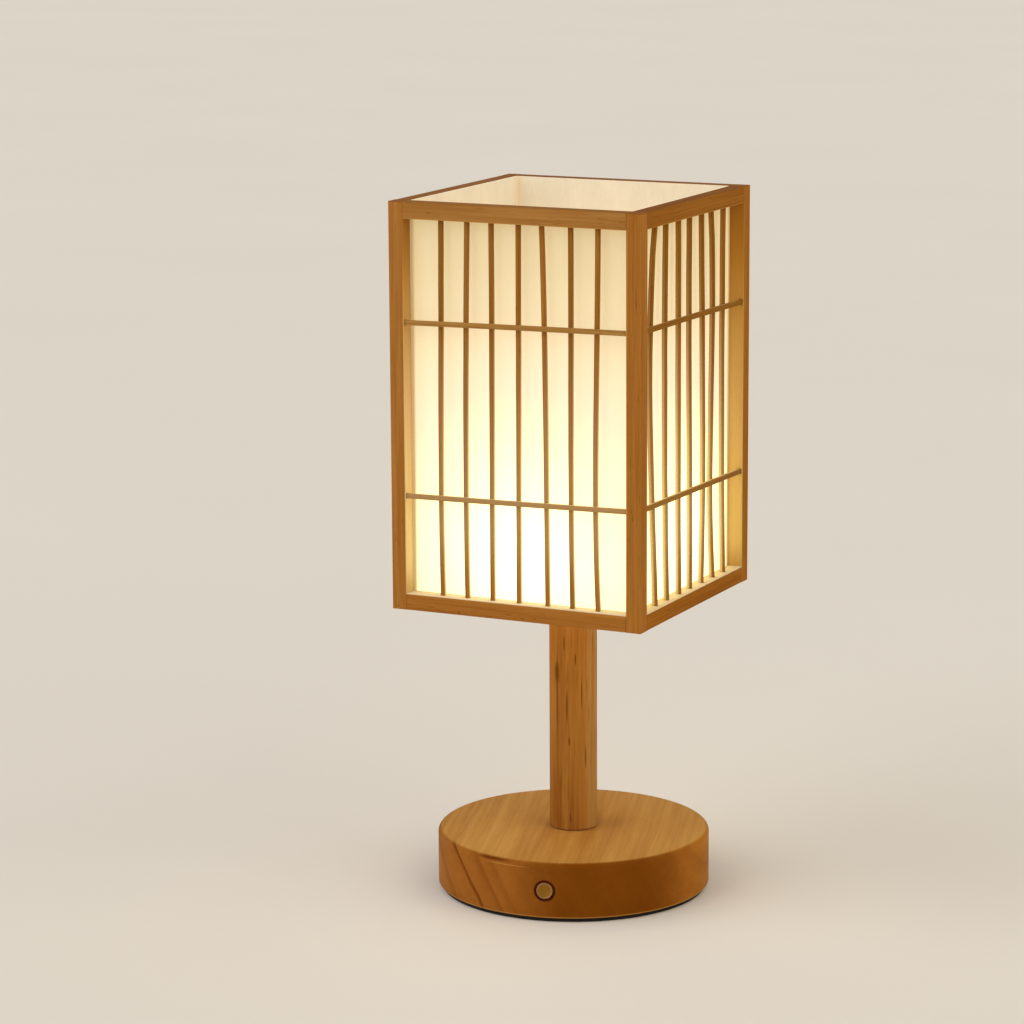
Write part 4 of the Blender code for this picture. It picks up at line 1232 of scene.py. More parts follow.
@dataclass
class Base:
    """Turned wooden disc with bores for the button and the charging socket."""

    radius: float = 0.07494
    low: float = 0.0023
    top: float = 0.0331
    top_ring: float = 0.03
    top_round: float = 0.0027
    foot_round: float = 0.0010
    rabbet_radius: float = 0.0673
    rabbet_top: float = 0.0046
    pocket_radius: float = 0.060
    ceiling: float = 0.0261
    steps: int = 160
    finish: TurnedBaseFinish = TurnedBaseFinish()

    def build(self) -> None:
        """Turn the disc, bore it and dress it."""
        profile = [(TUBE_HOLE, self.top), (self.top_ring, self.top)]
        profile += arc((self.radius - self.top_round, self.top - self.top_round), self.top_round,
                       90, 0, 8)
        profile += arc((self.radius - self.foot_round, self.low + self.foot_round),
                       self.foot_round, 0, -90)
        profile += [(self.rabbet_radius, self.low), (self.rabbet_radius, self.rabbet_top),
                    (self.pocket_radius, self.rabbet_top), (self.pocket_radius, self.ceiling),
                    (TUBE_HOLE, self.ceiling)]
        disc = Bench.turned("base_turning", profile, self.steps, closed=True)
        for bore in (PushButton().bore(), ChargingSocket().bore()):
            Bench.cut(disc, bore)
        fit(Bench.smooth(disc), self.finish, "base_disc")


@dataclass
class PanelFitting:
    """A round fitting set into the rim of the base."""

    face: float
    flange: float
    barrel: float
    flange_depth: float = 0.0012
    height: float = 0.0175
    outward: int = 1
    bore_depth: float = 0.022
    steps: int = 64

    def seat(self, piece: Piece) -> Piece:
        """Put a piece that was made upright into the rim, its top facing outwards.

        Args:
            piece: The piece.

        Returns:
            The piece.
        """
        tilt = self.outward * math.pi / 2
        Bench.put(piece, (0, -self.outward * self.face, self.height), (tilt, 0, 0))
        return Bench.put(piece, turn=(0, 0, BASE_TURN))

    def bore(self) -> Piece:
        """Make a stepped cutter for the bore of this fitting.

        Returns:
            The cutter, in its place.
        """
        wide, narrow, shelf = self.flange + ROOM, self.barrel + ROOM, -self.flange_depth - ROOM
        cutter = Bench.turned("rim_bore", [(0, 2 * PAST), (wide, 2 * PAST), (wide, shelf),
                                           (narrow, shelf), (narrow, -self.bore_depth),
                                           (0, -self.bore_depth)], self.steps)
        return self.seat(cutter)


@dataclass
class PushButton(PanelFitting):
    """Brass button in its dark ring, whose near-black colour is partly painted shade of the recess
    round the cap, on a return spring. The cap's rim is (inset, height).
    """

    face: float = 0.074787
    flange: float = 0.00565
    barrel: float = 0.0053
    lip: float = 0.0003
    bore_radius: float = 0.0049
    barrel_end: float = 0.0161
    cap_radius: float = 0.0046
    cap_middle: float = 0.00010
    cap_rim: tuple[Span, ...] = (
        (0.0013, 0.00012), (0.0010, 0.00022), (0.0008, 0.00037), (0.0006, 0.0004),
        (0.0004, 0.00038), (0.0002, 0.00026), (0.0, -0.0001))
    cap_depth: float = 0.004
    stem_radius: float = 0.0014
    stem_end: float = 0.0116
    web: Span = (0.0091, 0.0101)
    travel: float = 0.0012
    spring_wire: float = 0.0005
    spring_curls: int = 4
    curl_steps: int = 24
    wire_sides: int = 10
    # The ring's near-black colour stands in partly for shade in the recess round the cap.
    ring_finish: MetalFinish = MetalFinish("dark_bronze", (76, 27, 9), 0.6, 0.0, gloss=0.05)
    cap_finish: SpunCapFinish = SpunCapFinish()

    def build(self) -> None:
        """Make the ring, the cap and the spring."""
        self.ring()
        self.cap()
        self.spring()

    def ring(self) -> None:
        """Turn the ring with the web that carries the spring, and dress it."""
        near, far = self.web
        bore, stem, lip = self.bore_radius, self.stem_radius + ROOM, self.lip
        ring = [(self.flange, -self.flange_depth), (self.barrel, -self.flange_depth),
                (self.barrel, -self.barrel_end), (bore, -self.barrel_end), (bore, -far),
                (stem, -far), (stem, -near), (bore, -near), (bore, -lip),
                (bore + 0.6 * lip, -0.2 * lip), (bore + lip, 0)]
        ring += arc((self.flange - lip, -lip), lip, 90, 0)
        piece = self.seat(Bench.turned("button_ring", ring, self.steps, closed=True))
        fit(Bench.smooth(piece), self.ring_finish, "button_bezel")

    def cap(self) -> None:
        """Turn the cap with its stem, and dress it."""
        cap = [(0, self.cap_middle)]
        cap += [(self.cap_radius - inset, height) for inset, height in self.cap_rim]
        cap += [(self.cap_radius, -self.cap_depth), (self.stem_radius, -self.cap_depth),
                (self.stem_radius, -self.stem_end), (0, -self.stem_end)]
        piece = Bench.smooth(self.seat(Bench.turned("button_cap", cap, self.steps)))
        material = self.cap_finish.material(piece.name, self.inside(0.0), self.cap_radius)
        fit(piece, self.cap_finish, "power_button", body="button", material=material)

    def spring(self) -> None:
        """Wind the return spring between the cap and the web."""
        first, last = self.cap_depth + ROOM, self.web[0] - ROOM
        length = last - first - self.spring_wire
        middle = (self.stem_radius + self.bore_radius) / 2
        bpy.ops.mesh.primitive_circle_add(
            vertices=self.wire_sides, radius=self.spring_wire / 2, rotation=(math.pi / 2, 0, 0),
            location=(middle, 0, -first - self.spring_wire / 2))
        coil = Bench.named("return_spring")
        Bench.apply(coil, "SCREW", angle=2 * math.pi, screw_offset=-length / self.spring_curls,
                    iterations=self.spring_curls, steps=self.curl_steps,
                    render_steps=self.curl_steps)
        with Bench.editing(coil, "EDGE"):
            bpy.ops.mesh.select_all(action="SELECT")
            bpy.ops.mesh.fill_holes(sides=0)
            bpy.ops.mesh.normals_make_consistent(inside=False)
        fit(Bench.smooth(self.seat(coil)), STEEL, "button_spring")
        self.inside(last)
        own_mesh(coil)

    def inside(self, depth: float) -> Point:
        """Point on the button's axis at a depth from its face."""
        away = self.face - depth
        return (away * math.sin(BASE_TURN), -away * math.cos(BASE_TURN), self.height)


@dataclass
class ChargingSocket(PanelFitting):
    """Flanged charging socket at the back of the base."""

    face: float = 0.07467
    flange: float = 0.0070
    barrel: float = 0.0056
    outward: int = -1
    edge: float = 0.0004
    barrel_end: float = 0.0160
    mouth: Span = (0.0086, 0.0029)
    mouth_depth: float = 0.007
    mouth_round: float = 0.00135
    tongue: Point = (0.0064, 0.0007, 0.0048)
    tongue_edge: float = 0.0001
    finish: PlasticFinish = PlasticFinish("black_plastic", (26, 26, 28), 0.42)

    def build(self) -> None:
        """Turn the flanged body, cut its mouth, add the tongue and dress them."""
        body = [(0, 0), (self.flange - 2 * self.edge, 0)]
        body += arc((self.flange - self.edge, -self.edge), self.edge, 90, 0)
        body += [(self.flange, -self.flange_depth), (self.barrel, -self.flange_depth),
                 (self.barrel, -self.barrel_end), (0, -self.barrel_end)]
        socket = Bench.turned("charging_inlet", body, self.steps)
        width, height = self.mouth
        slot = Bench.block("inlet_mouth", (-width / 2, -height / 2, -self.mouth_depth),
                           (width / 2, height / 2, 2 * PAST))
        with Bench.editing(slot, "EDGE"):
            Bench.pick(slot, "edges", lambda e: Bench.runs(e, Axis.Z, PAST))
            bpy.ops.mesh.bevel(offset=self.mouth_round, segments=6, affect="EDGES")
        Bench.cut(socket, slot)
        fit(Bench.smooth(self.seat(socket)), self.finish, "charging_socket")

        wide, thick, long = self.tongue
        floor = ROOM - self.mouth_depth
        tongue = Bench.block("inlet_tongue", (-wide / 2, -thick / 2, floor),
                             (wide / 2, thick / 2, floor + long))
        Bench.soften(tongue, self.tongue_edge)
        fit(Bench.smooth(self.seat(tongue)), self.finish, "charging_tongue")


@dataclass
class Underside:
    """Foot pad, bottom cover and cover screws.

    A screw's crown is (radius, rise) from its face, and its cross slot the half length, the half
    width and the depth.
    """

    pad_radius: float = 0.073
    pad_inner: float = 0.0673
    pad_top: float = 0.002
    pad_round: float = 0.0005
    cover_radius: float = 0.067
    cover_low: float = 0.0023
    cover_top: float = 0.0043
    cover_edge: float = 0.0006
    groove_radius: float = 0.043
    groove_half: float = 0.0025
    groove_slope: float = 0.001
    screw_circle: float = 0.0635
    head_radius: float = 0.0026
    head_low: float = 0.0026
    head_top: float = 0.0036
    crown: tuple[Span, ...] = ((0.0, 0.0), (0.0019, 0.00008), (0.0024, 0.0003), (0.0026, 0.0006))
    cross_slot: Point = (0.0015, 0.0003, 0.0006)
    shank_radius: float = 0.0014
    tip: float = 0.0156
    screws: int = 4
    screw_turns: Span = (0.4, 0.9)
    steps: int = 144
    screw_steps: int = 40
    pad_finish: PlasticFinish = PlasticFinish("black_foam", (11, 7, 5), 0.9, 0.0012, 0.0003, 0.3)
    cover_finish: MetalFinish = MetalFinish("black_steel", (34, 33, 32), 0.55, 0.6)
    screw_finish: MetalFinish = MetalFinish("steel", (170, 170, 168), 0.32)

    def place(self, number: int) -> Point:
        """Centre of a cover screw."""
        angle = 2 * math.pi * (number + 0.5) / self.screws + BASE_TURN
        return (self.screw_circle * math.cos(angle), self.screw_circle * math.sin(angle), 0.0)

    def build(self) -> None:
        """Make the pad, the cover and the screws."""
        self.pad()
        self.cover()
        self.fasten()

    def pad(self) -> None:
        """Turn the foot ring and dress it."""
        soft, reach = self.pad_round, self.pad_radius - self.pad_round
        pad = [(self.pad_inner, self.pad_top), (self.pad_inner, 0)]
        pad += arc((reach, soft), soft, -90, 0) + arc((reach, self.pad_top - soft), soft, 0, 90)
        piece = Bench.smooth(Bench.turned("foot_ring", pad, self.steps, closed=True))
        fit(piece, self.pad_finish, "foot_pad")

    def cover(self) -> None:
        """Turn the cover with its pressed groove, sink the screw recesses and dress it."""
        low, top, edge, radius = self.cover_low, self.cover_top, self.cover_edge, self.cover_radius
        ring, half = self.groove_radius, self.groove_half
        floor = half - self.groove_slope
        plate = [(0, low), (ring - half, low), (ring - floor, low + edge),
                 (ring + floor, low + edge), (ring + half, low), (radius - edge, low),
                 (radius, low + edge), (radius, top), (0, top)]
        cover = Bench.turned("cover_plate", plate, self.steps)
        for number in range(self.screws):
            recess = Bench.rod("screw_recess", self.head_radius + ROOM, PAST, self.head_top + ROOM,
                               self.screw_steps)
            Bench.cut(cover, Bench.put(recess, self.place(number)))
        fit(Bench.smooth(cover), self.cover_finish, "bottom_cover")

    def fasten(self) -> None:
        """Turn one screw, cut its cross slot, and copy it to each recess."""
        screw = [(radius, self.head_low + rise) for radius, rise in self.crown]
        screw += [(self.head_radius, self.head_top), (self.shank_radius, self.head_top),
                  (self.shank_radius, self.tip - self.shank_radius), (0, self.tip)]
        first = Bench.turned("screw_start", screw, self.screw_steps)
        long, short, deep = self.cross_slot
        for x, y in ((long, short), (short, long)):
            Bench.cut(first, Bench.block("cross_slot", (-x, -y, self.pad_top),
                                         (x, y, self.head_low + deep)))
        Bench.smooth(first)
        start, step = self.screw_turns
        for number in range(self.screws):
            piece = Bench.copy(first, f"plate_screw_{number + 1}", start + step * number)
            Bench.put(piece, self.place(number))
            fit(piece, self.screw_finish, f"cover_screw_{number + 1}")
        Bench.discard(first)


@dataclass
class Post:
    """Round post between the base and the shade."""

    radius: float = 0.0131
    low: float = 0.0334
    top: float = 0.1641
    edge: float = 0.0007
    steps: int = 128
    finish: TurnedPostFinish = TurnedPostFinish()

    def build(self) -> None:
        """Turn the post and dress it."""
        profile = arc((self.radius - self.edge, self.top - self.edge), self.edge, 90, 0)
        profile += arc((self.radius - self.edge, self.low + self.edge), self.edge, 0, -90)
        profile += [(TUBE_HOLE, self.low), (TUBE_HOLE, self.top)]
        post = Bench.turned("post_turning", profile, self.steps, closed=True)
        fit(Bench.smooth(post), self.finish, "lamp_post")


@dataclass
class Lattice:
    """Upright slats and level bars of the four sides.

    Lifts are how far the ends of the lower and the upper bar stand off their level. Colour factors,
    which paint light and shade by side, and the painted glow on the dark faces go by the start of a
    stick's name.
    """

    draw: random.Random
    stick: float = 0.0026
    slat_width: float = 0.0023
    bar_y: float = -0.0709
    slat_y: float = -0.0685
    low: float = 0.1717
    high: float = 0.3771
    reach: float = 0.0662
    bar_heights: Span = (0.2269, 0.3204)
    lifts: dict[Side, tuple[Span, Span]] = field(default_factory=lambda: {
        Side.FRONT: ((-0.0004, 0.0016), (-0.0004, 0.0016)),
        Side.RIGHT: ((0.0020, 0.0), (0.0020, 0.0006)),
        Side.BACK: ((0.0004, -0.0003), (0.0, 0.0005)), Side.LEFT: ((-0.0004, 0.0), (0.0003, 0.0))})
    pitch: float = 0.0152
    slats: int = 7
    cuts: int = 11
    edge: float = 0.0003
    stray: float = 0.9
    jitter: float = 0.0001
    sway: float = 0.0003
    heights: tuple[float, ...] = (0.1770, 0.2380, 0.3135, 0.3665)
    finish: BambooFinish = BambooFinish(
        "stick_bamboo", (132, 82, 28), (172, 120, 56), (100, 58, 18), bundle=0.0007,
        roughness=0.46, spread=0.09, raw_low=(232, 212, 168), raw_high=(162, 120, 60))
    # Painted glow of the lamp on the sticks' dark faces, by stick.
    bleach: float = 0.24
    bleaches: dict[str, float] = field(default_factory=lambda: {
        "slat_right": 0.23, "bar_right": 0.05})
    # Painted light on the front sticks and painted shade on the right-side ones.
    tints: dict[str, Colour] = field(default_factory=lambda: {
        "slat_right": (0.88, 0.90, 0.62), "bar_right": (0.90, 0.92, 0.70),
        "bar_front_upper": (1.18, 1.40, 1.85)})

    def __post_init__(self) -> None:
        """Settle where each slat stands at each height, in millimetres from its side's middle."""
        self.places: dict[Side, list[tuple[float, ...]]] = {
            Side.FRONT: [(-44.6, -45.1, -44.5, -44.1), (-29.9, -30.3, -29.7, -28.9),
                         (-14.8, -14.8, -14.6, -14.6), (0.7, 0.8, 1.0, 1.1),
                         (17.5, 16.9, 16.1, 14.9), (31.9, 31.2, 31.3, 31.3),
                         (46.6, 45.3, 46.1, 46.7)],
            Side.RIGHT: [(-44.6, -49.2, -51.7, -47.1), (-29.6, -31.8, -32.5, -31.5),
                         (-13.3, -14.3, -14.5, -14.7), (1.5, 1.1, -0.3, -0.3),
                         (17.7, 19.1, 17.5, 16.1), (32.3, 29.0, 31.4, 30.0),
                         (47.6, 45.3, 45.0, 45.6)]}
        for side in (Side.BACK, Side.LEFT):
            self.places[side] = []
            for number in range(self.slats):
                middle = 1000 * self.pitch * (number - (self.slats - 1) / 2)
                self.places[side].append(tuple(
                    middle + self.draw.uniform(-self.stray, self.stray) for _ in self.heights))

    def slat_place(self, side: Side, number: int, height: float) -> float:
        """Find where a slat stands at one height, on a cubic through its known places.

        Args:
            side: The slat's side.
            number: Its number, from 0.
            height: The height.

        Returns:
            Its place across the side.
        """
        total = 0.0
        for i, known in enumerate(self.places[side][number]):
            share = 1.0
            for j, other in enumerate(self.heights):
                if j != i:
                    share *= (height - other) / (self.heights[i] - other)
            total += share * known
        return total / 1000

    def bar_height(self, side: Side, level: int, x: float) -> float:
        """Find the height of a bar, straight between its ends.

        Args:
            side: The bar's side.
            level: 0 for the lower bar, 1 for the upper one.
            x: Place along the side.

        Returns:
            The height.
        """
        left, right = self.lifts[side][level]
        share = (x + self.reach) / (2 * self.reach)
        return self.bar_heights[level] + left + (right - left) * share

    def start(self, name: str, low: Point, high: Point, along: Axis) -> Piece:
        """Make a straight stick with rings along its length.

        Args:
            name: Name of the stick.
            low: Its lowest corner.
            high: Its highest corner.
            along: Direction of its length.

        Returns:
            The stick.
        """
        stick = Bench.block(name, low, high)
        with Bench.editing(stick, "EDGE"):
            Bench.pick(stick, "edges", lambda e: Bench.runs(e, along, 2 * self.stick))
            bpy.ops.mesh.subdivide(number_cuts=self.cuts)
        return stick

    def bend(self, stick: Piece, along: Axis,
             path: Callable[[float], Point]) -> None:
        """Move each ring of a stick sideways.

        Args:
            stick: The stick.
            along: Direction of its length.
            path: Offset by the place along the stick.
        """
        with Bench.editing(stick, "VERT"):
            mesh = bmesh.from_edit_mesh(stick.data)
            levels = sorted({round(v.co[along.value], 5) for v in mesh.verts})
            for level in levels:
                Bench.pick(stick, "verts", lambda v: abs(v.co[along.value] - level) < TOUCH)
                bpy.ops.transform.translate(value=path(level))

    def build(self) -> None:
        """Model one slat and one bar, copy them to all sides, bend and dress them."""
        half, wide = self.stick / 2, self.slat_width / 2
        slat = self.start("slat_start", (-wide, self.slat_y - half, self.low),
                          (wide, self.slat_y + half, self.high), Axis.Z)
        bar = self.start("bar_start", (-self.reach, self.bar_y - half, -half),
                         (self.reach, self.bar_y + half, half), Axis.X)
        for side in Side:
            for number in range(self.slats):
                name = f"slat_{side.label}_{number + 1}"
                self.place(Bench.copy(slat, name), side, Axis.Z, lambda z: (
                    self.slat_place(side, number, z), self.draw.uniform(-self.jitter, self.jitter),
                    0))
            for level, word in enumerate(("lower", "upper")):
                sway = self.draw.uniform(-self.sway, self.sway)
                self.place(Bench.copy(bar, f"bar_{side.label}_{word}"), side, Axis.X, lambda x: (
                    0, 0, self.bar_height(side, level, x)
                    + sway * math.cos(math.pi / 2 * x / self.reach)))
        Bench.discard(slat, bar)

    def place(self, stick: Piece, side: Side, along: Axis,
              path: Callable[[float], Point]) -> None:
        """Bend a stick, soften it, turn it to its side and dress it.

        Args:
            stick: The stick, made at the front.
            side: Its side.
            along: Direction of its length at the front.
            path: Offset by the place along the stick.
        """
        self.bend(stick, along, path)
        Bench.soften(stick, self.edge)
        Bench.put(Bench.smooth(stick), turn=(0, 0, side.turn))
        depth = abs(self.slat_y if along is Axis.Z else self.bar_y) + self.stick / 2
        across, outward = side.outward
        member = Member(Axis.Z if along is Axis.Z else side.level_grain,
                        skin=(across, outward * depth),
                        tint=self.named(self.tints, stick.name, EVEN),
                        bleach=self.named(self.bleaches, stick.name, self.bleach))
        fit(stick, self.finish, f"lattice_{side.label}",
            material=self.finish.material(stick.name, member, self.draw))

    @staticmethod
    def named(table: dict[str, object], name: str, usual: object) -> object:
        """Entry of a table whose key starts a stick's name, or else the usual one."""
        return next((entry for key, entry in table.items() if name.startswith(key)), usual)


@dataclass
class ShadeFrame:
    """Corner posts and rails of the shade, with sockets for the sticks.

    Marks and colour factors go by the name of a piece; the factors are painted light and painted
    shade by side.
    """

    draw: random.Random
    lattice: Lattice
    half: float = 0.073
    inner: float = 0.0645
    low: float = 0.1644
    top: float = 0.3844
    bottom_rail_top: float = 0.1734
    top_rail_low: float = 0.3754
    edge: float = 0.0004
    seat: float = 0.002
    slat_room: float = 0.0001
    butt: float = 0.00006
    bar_room: float = 0.00015
    finish: BambooFinish = BambooFinish("frame_bamboo", (142, 86, 30), (180, 122, 56),
                                        (104, 58, 16))
    corners: tuple[str, ...] = ("front_left", "front_right", "back_right", "back_left")
    marks: dict[str, tuple[tuple[Point, Point], ...]] = field(default_factory=lambda: {
        "rail_bottom_front": (((-0.0331, -0.073, 0.1655), (0.0004, 0.004, 0.0016)),
                              ((0.0045, -0.073, 0.1660), (0.0009, 0.004, 0.0004)),
                              ((0.0116, -0.073, 0.1667), (0.0007, 0.004, 0.0003))),
        "upright_front_left": (((-0.0696, -0.073, 0.1662), (0.0004, 0.004, 0.0006)),)})
    # Painted light on front members and painted shade on right-side members.
    tints: dict[str, Colour] = field(default_factory=lambda: {
        "rail_top_front": (1.13, 1.30, 1.80), "upright_front_left": (1.03, 1.05, 1.15),
        "upright_front_right": (1.02, 1.01, 0.96), "rail_top_right": (0.85, 0.80, 0.52),
        "rail_bottom_right": (0.87, 0.79, 0.42), "upright_back_right": (0.93, 0.89, 0.55)})
    # Painted glow and painted shade on the raw faces, by piece.
    raw_tints: dict[str, Colour] = field(default_factory=lambda: {
        "upright_front_left": (1.03, 1.05, 1.10), "upright_back_right": (0.93, 0.86, 0.62),
        "rail_bottom_front": (1.0, 1.12, 1.60), "rail_bottom_right": (1.0, 1.10, 1.50)})

    def build(self) -> None:
        """Model one post and two rails, copy them to the four sides and dress them."""
        post = Bench.block("post_start", (-self.half, -self.half, self.low),
                           (-self.inner, -self.inner, self.top))
        self.round_edges(post, Axis.Z)
        ends = {"bottom": (self.low, self.bottom_rail_top), "top": (self.top_rail_low, self.top)}
        reach = self.inner - self.butt
        rails = {}
        for level, (low, high) in ends.items():
            rails[level] = Bench.block(f"{level}_start", (-reach, -self.half, low),
                                       (reach, -self.inner, high))
            self.round_edges(rails[level], Axis.X)
        for side, corner in zip(Side, self.corners):
            upright = Bench.copy(post, f"upright_{corner}")
            self.cut_bar_sockets(upright, side)
            self.dress(upright, side, Axis.Z, f"corner_post_{corner}")
            for level, rail in rails.items():
                copy = Bench.copy(rail, f"rail_{level}_{side.label}")
                self.cut_slat_sockets(copy, side, level)
                self.dress(copy, side, side.level_grain, f"{level}_rail_{side.label}")
        Bench.discard(post, *rails.values())

    def round_edges(self, member: Piece, along: Axis) -> None:
        """Round the long edges of a member that do not meet the liner.

        Args:
            member: The member, made at the front.
            along: Direction of its length.
        """
        def inside(vertex: bmesh.types.BMVert) -> bool:
            """Tell whether a corner of the member lies against the liner."""
            return (abs(vertex.co.y + self.inner) < TOUCH
                    and (along is Axis.X or abs(vertex.co.x + self.inner) < TOUCH))

        with Bench.editing(member, "EDGE"):
            Bench.pick(member, "edges", lambda e: Bench.runs(e, along, self.half)
                       and not all(inside(v) for v in e.verts))
            bpy.ops.mesh.bevel(offset=self.edge, segments=3, affect="EDGES")

    def cut_bar_sockets(self, post: Piece, side: Side) -> None:
        """Cut sockets for the bars of two sides into a post of the front's left corner.

        Args:
            post: The post.
            side: The side that the post will stand at the left of.
        """
        lattice = self.lattice
        room = lattice.stick / 2 + self.bar_room
        low, high = lattice.bar_y - room, lattice.bar_y + room
        deep, out = -self.inner - self.seat, PAST - self.inner
        before = Side((side.value - 1) % len(Side))
        for level in range(len(lattice.bar_heights)):
            z = lattice.bar_height(side, level, -lattice.reach)
            Bench.cut(post, Bench.block("bar_socket", (deep, low, z - room), (out, high, z + room)))
            z = lattice.bar_height(before, level, lattice.reach)
            Bench.cut(post, Bench.block("bar_socket", (low, deep, z - room), (high, out, z + room)))

    def cut_slat_sockets(self, rail: Piece, side: Side, level: str) -> None:
        """Cut a socket for the end of each slat of a side into a rail of the front.

        Args:
            rail: The rail.
            side: The side that it will be turned to.
            level: bottom or top.
        """
        lattice = self.lattice
        end, out = ((self.bottom_rail_top, PAST) if level == "bottom"
                    else (self.top_rail_low, -PAST))
        room = lattice.stick / 2 + self.slat_room
        wide = lattice.slat_width / 2 + self.slat_room
        low, high = sorted((end + out, end - math.copysign(self.seat, out)))
        for number in range(lattice.slats):
            x = lattice.slat_place(side, number, end)
            Bench.cut(rail, Bench.block("slat_socket", (x - wide, lattice.slat_y - room, low),
                                        (x + wide, lattice.slat_y + room, high)))

    def dress(self, piece: Piece, side: Side, grain: Axis, node: str) -> None:
        """Turn a member to its side and dress it.

        Args:
            piece: The member, made at the front.
            side: Its side.
            grain: Direction of its fibres, once it is turned.
            node: The node that it stands for.
        """
        Bench.put(Bench.smooth(piece), turn=(0, 0, side.turn))
        block = tuple(tuple(end(c[axis.value] for c in piece.bound_box) for axis in Axis)
                      for end in (min, max))
        centre = (0.0, 0.0, (self.low + self.top) / 2)
        raw = [(axis, min((corner[axis.value] for corner in block),
                          key=lambda place: abs(place - centre[axis.value])))
               for axis in ((Axis.X, Axis.Y) if grain is Axis.Z else (Axis.Z,))]
        member = Member(grain, block, self.marks.get(piece.name, ()), raw,
                        (self.bottom_rail_top, self.top_rail_low), self.top,
                        tint=self.tints.get(piece.name, EVEN),
                        raw_tint=self.raw_tints.get(piece.name, EVEN))
        fit(piece, self.finish, node, material=self.finish.material(piece.name, member, self.draw))


@dataclass
class Liner:
    """Sheet folded into a square sleeve behind the lattice."""

    half: float = 0.06448
    low: float = 0.1697
    high: float = 0.3843
    cuts: int = 11
    fold: float = 0.0001
    inner_fold: float = 0.0009
    thickness: float = 0.0006
    wave: float = 0.0004
    wave_size: float = 0.05
    wave_middle: float = 0.75
    held: float = 0.03
    outside: SheetFinish = SheetFinish((190, 176, 150), (
        (0.063, (1.7, 1.6, 0.90)), (0.075, (1.5, 1.4, 0.67)), (0.083, (1.35, 1.25, 0.585)),
        (0.090, (1.2, 1.05, 0.53)), (0.100, (1.0, 0.72, 0.475)), (0.111, (0.90, 0.62, 0.43)),
        (0.122, (0.80, 0.59, 0.38)), (0.135, (0.68, 0.54, 0.32)), (0.147, (0.575, 0.475, 0.27)),
        (0.170, (0.50, 0.40, 0.20)), (0.190, (0.45, 0.355, 0.17))))
    inside: SheetFinish = SheetFinish((206, 198, 180), (
        (0.063, (2.0, 1.6, 1.00)), (0.100, (0.7, 0.55, 0.36)), (0.145, (0.26, 0.21, 0.16)),
        (0.190, (0.15, 0.13, 0.10))), fold_glow=(0.14, 0.12, 0.085))
    cut_edge: SheetFinish = SheetFinish((244, 236, 214), (
        (0.063, (0.60, 0.55, 0.40)), (0.190, (0.45, 0.42, 0.34))))

    def build(self) -> None:
        """Fold the sleeve, give it its waves and its thickness, and dress it."""
        sleeve = Bench.block("liner_sleeve", (-self.half, -self.half, self.low),
                             (self.half, self.half, self.high))
        with Bench.editing(sleeve, "FACE"):
            Bench.pick(sleeve, "faces", self.is_level)
            bpy.ops.mesh.delete(type="FACE")
        with Bench.editing(sleeve, "EDGE"):
            bpy.ops.mesh.select_all(action="SELECT")
            bpy.ops.mesh.subdivide(number_cuts=self.cuts)
        self.ripple(sleeve)
        Bench.apply(sleeve, "SOLIDIFY", thickness=self.thickness, offset=-1, use_even_offset=True)
        for place, radius in ((self.half, self.fold),
                              (self.half - self.thickness, self.inner_fold)):
            with Bench.editing(sleeve, "EDGE"):
                Bench.pick(sleeve, "edges", lambda e: all(
                    abs(abs(v.co.x) - place) + abs(abs(v.co.y) - place) < 5 * TOUCH
                    for v in e.verts))
                bpy.ops.mesh.bevel(offset=radius, segments=3, affect="EDGES")
        fit(Bench.smooth(sleeve), self.outside, "shade_liner")
        self.paint(sleeve, self.inside.material("liner_inside"),
                   lambda f: f.normal.xy.dot(f.calc_center_median().xy) < -self.half / 2)
        self.paint(sleeve, self.cut_edge.material("liner_cut_edge"), self.is_level)

    def ripple(self, sleeve: Piece) -> None:
        """Let the sleeve wave a little between its folds.

        Args:
            sleeve: The sleeve.
        """
        free = sleeve.vertex_groups.new(name="away_from_folds")
        for vertex in sleeve.data.vertices:
            reach = self.half - min(abs(vertex.co.x), abs(vertex.co.y))
            free.add([vertex.index], min(1.0, reach / self.held), "REPLACE")
        wave = bpy.data.textures.new("liner_wave", "CLOUDS")
        wave.noise_scale = self.wave_size
        Bench.apply(sleeve, "DISPLACE", texture=wave, texture_coords="LOCAL", strength=self.wave,
                    mid_level=self.wave_middle, direction="NORMAL", vertex_group=free.name)

    @staticmethod
    def is_level(face: bmesh.types.BMFace) -> bool:
        """Tell whether a face looks up or down."""
        return abs(face.normal.z) > 0.5

    @staticmethod
    def paint(sleeve: Piece, material: Material,
              test: Callable[[bmesh.types.BMFace], bool]) -> None:
        """Give some faces of the sleeve another material.

        Args:
            sleeve: The sleeve.
            material: The material.
            test: True for the faces that get it.
        """
        sleeve.data.materials.append(material)
        with Bench.editing(sleeve, "FACE"):
            Bench.pick(sleeve, "faces", test)
            sleeve.active_material_index = len(sleeve.material_slots) - 1
            bpy.ops.object.material_slot_assign()


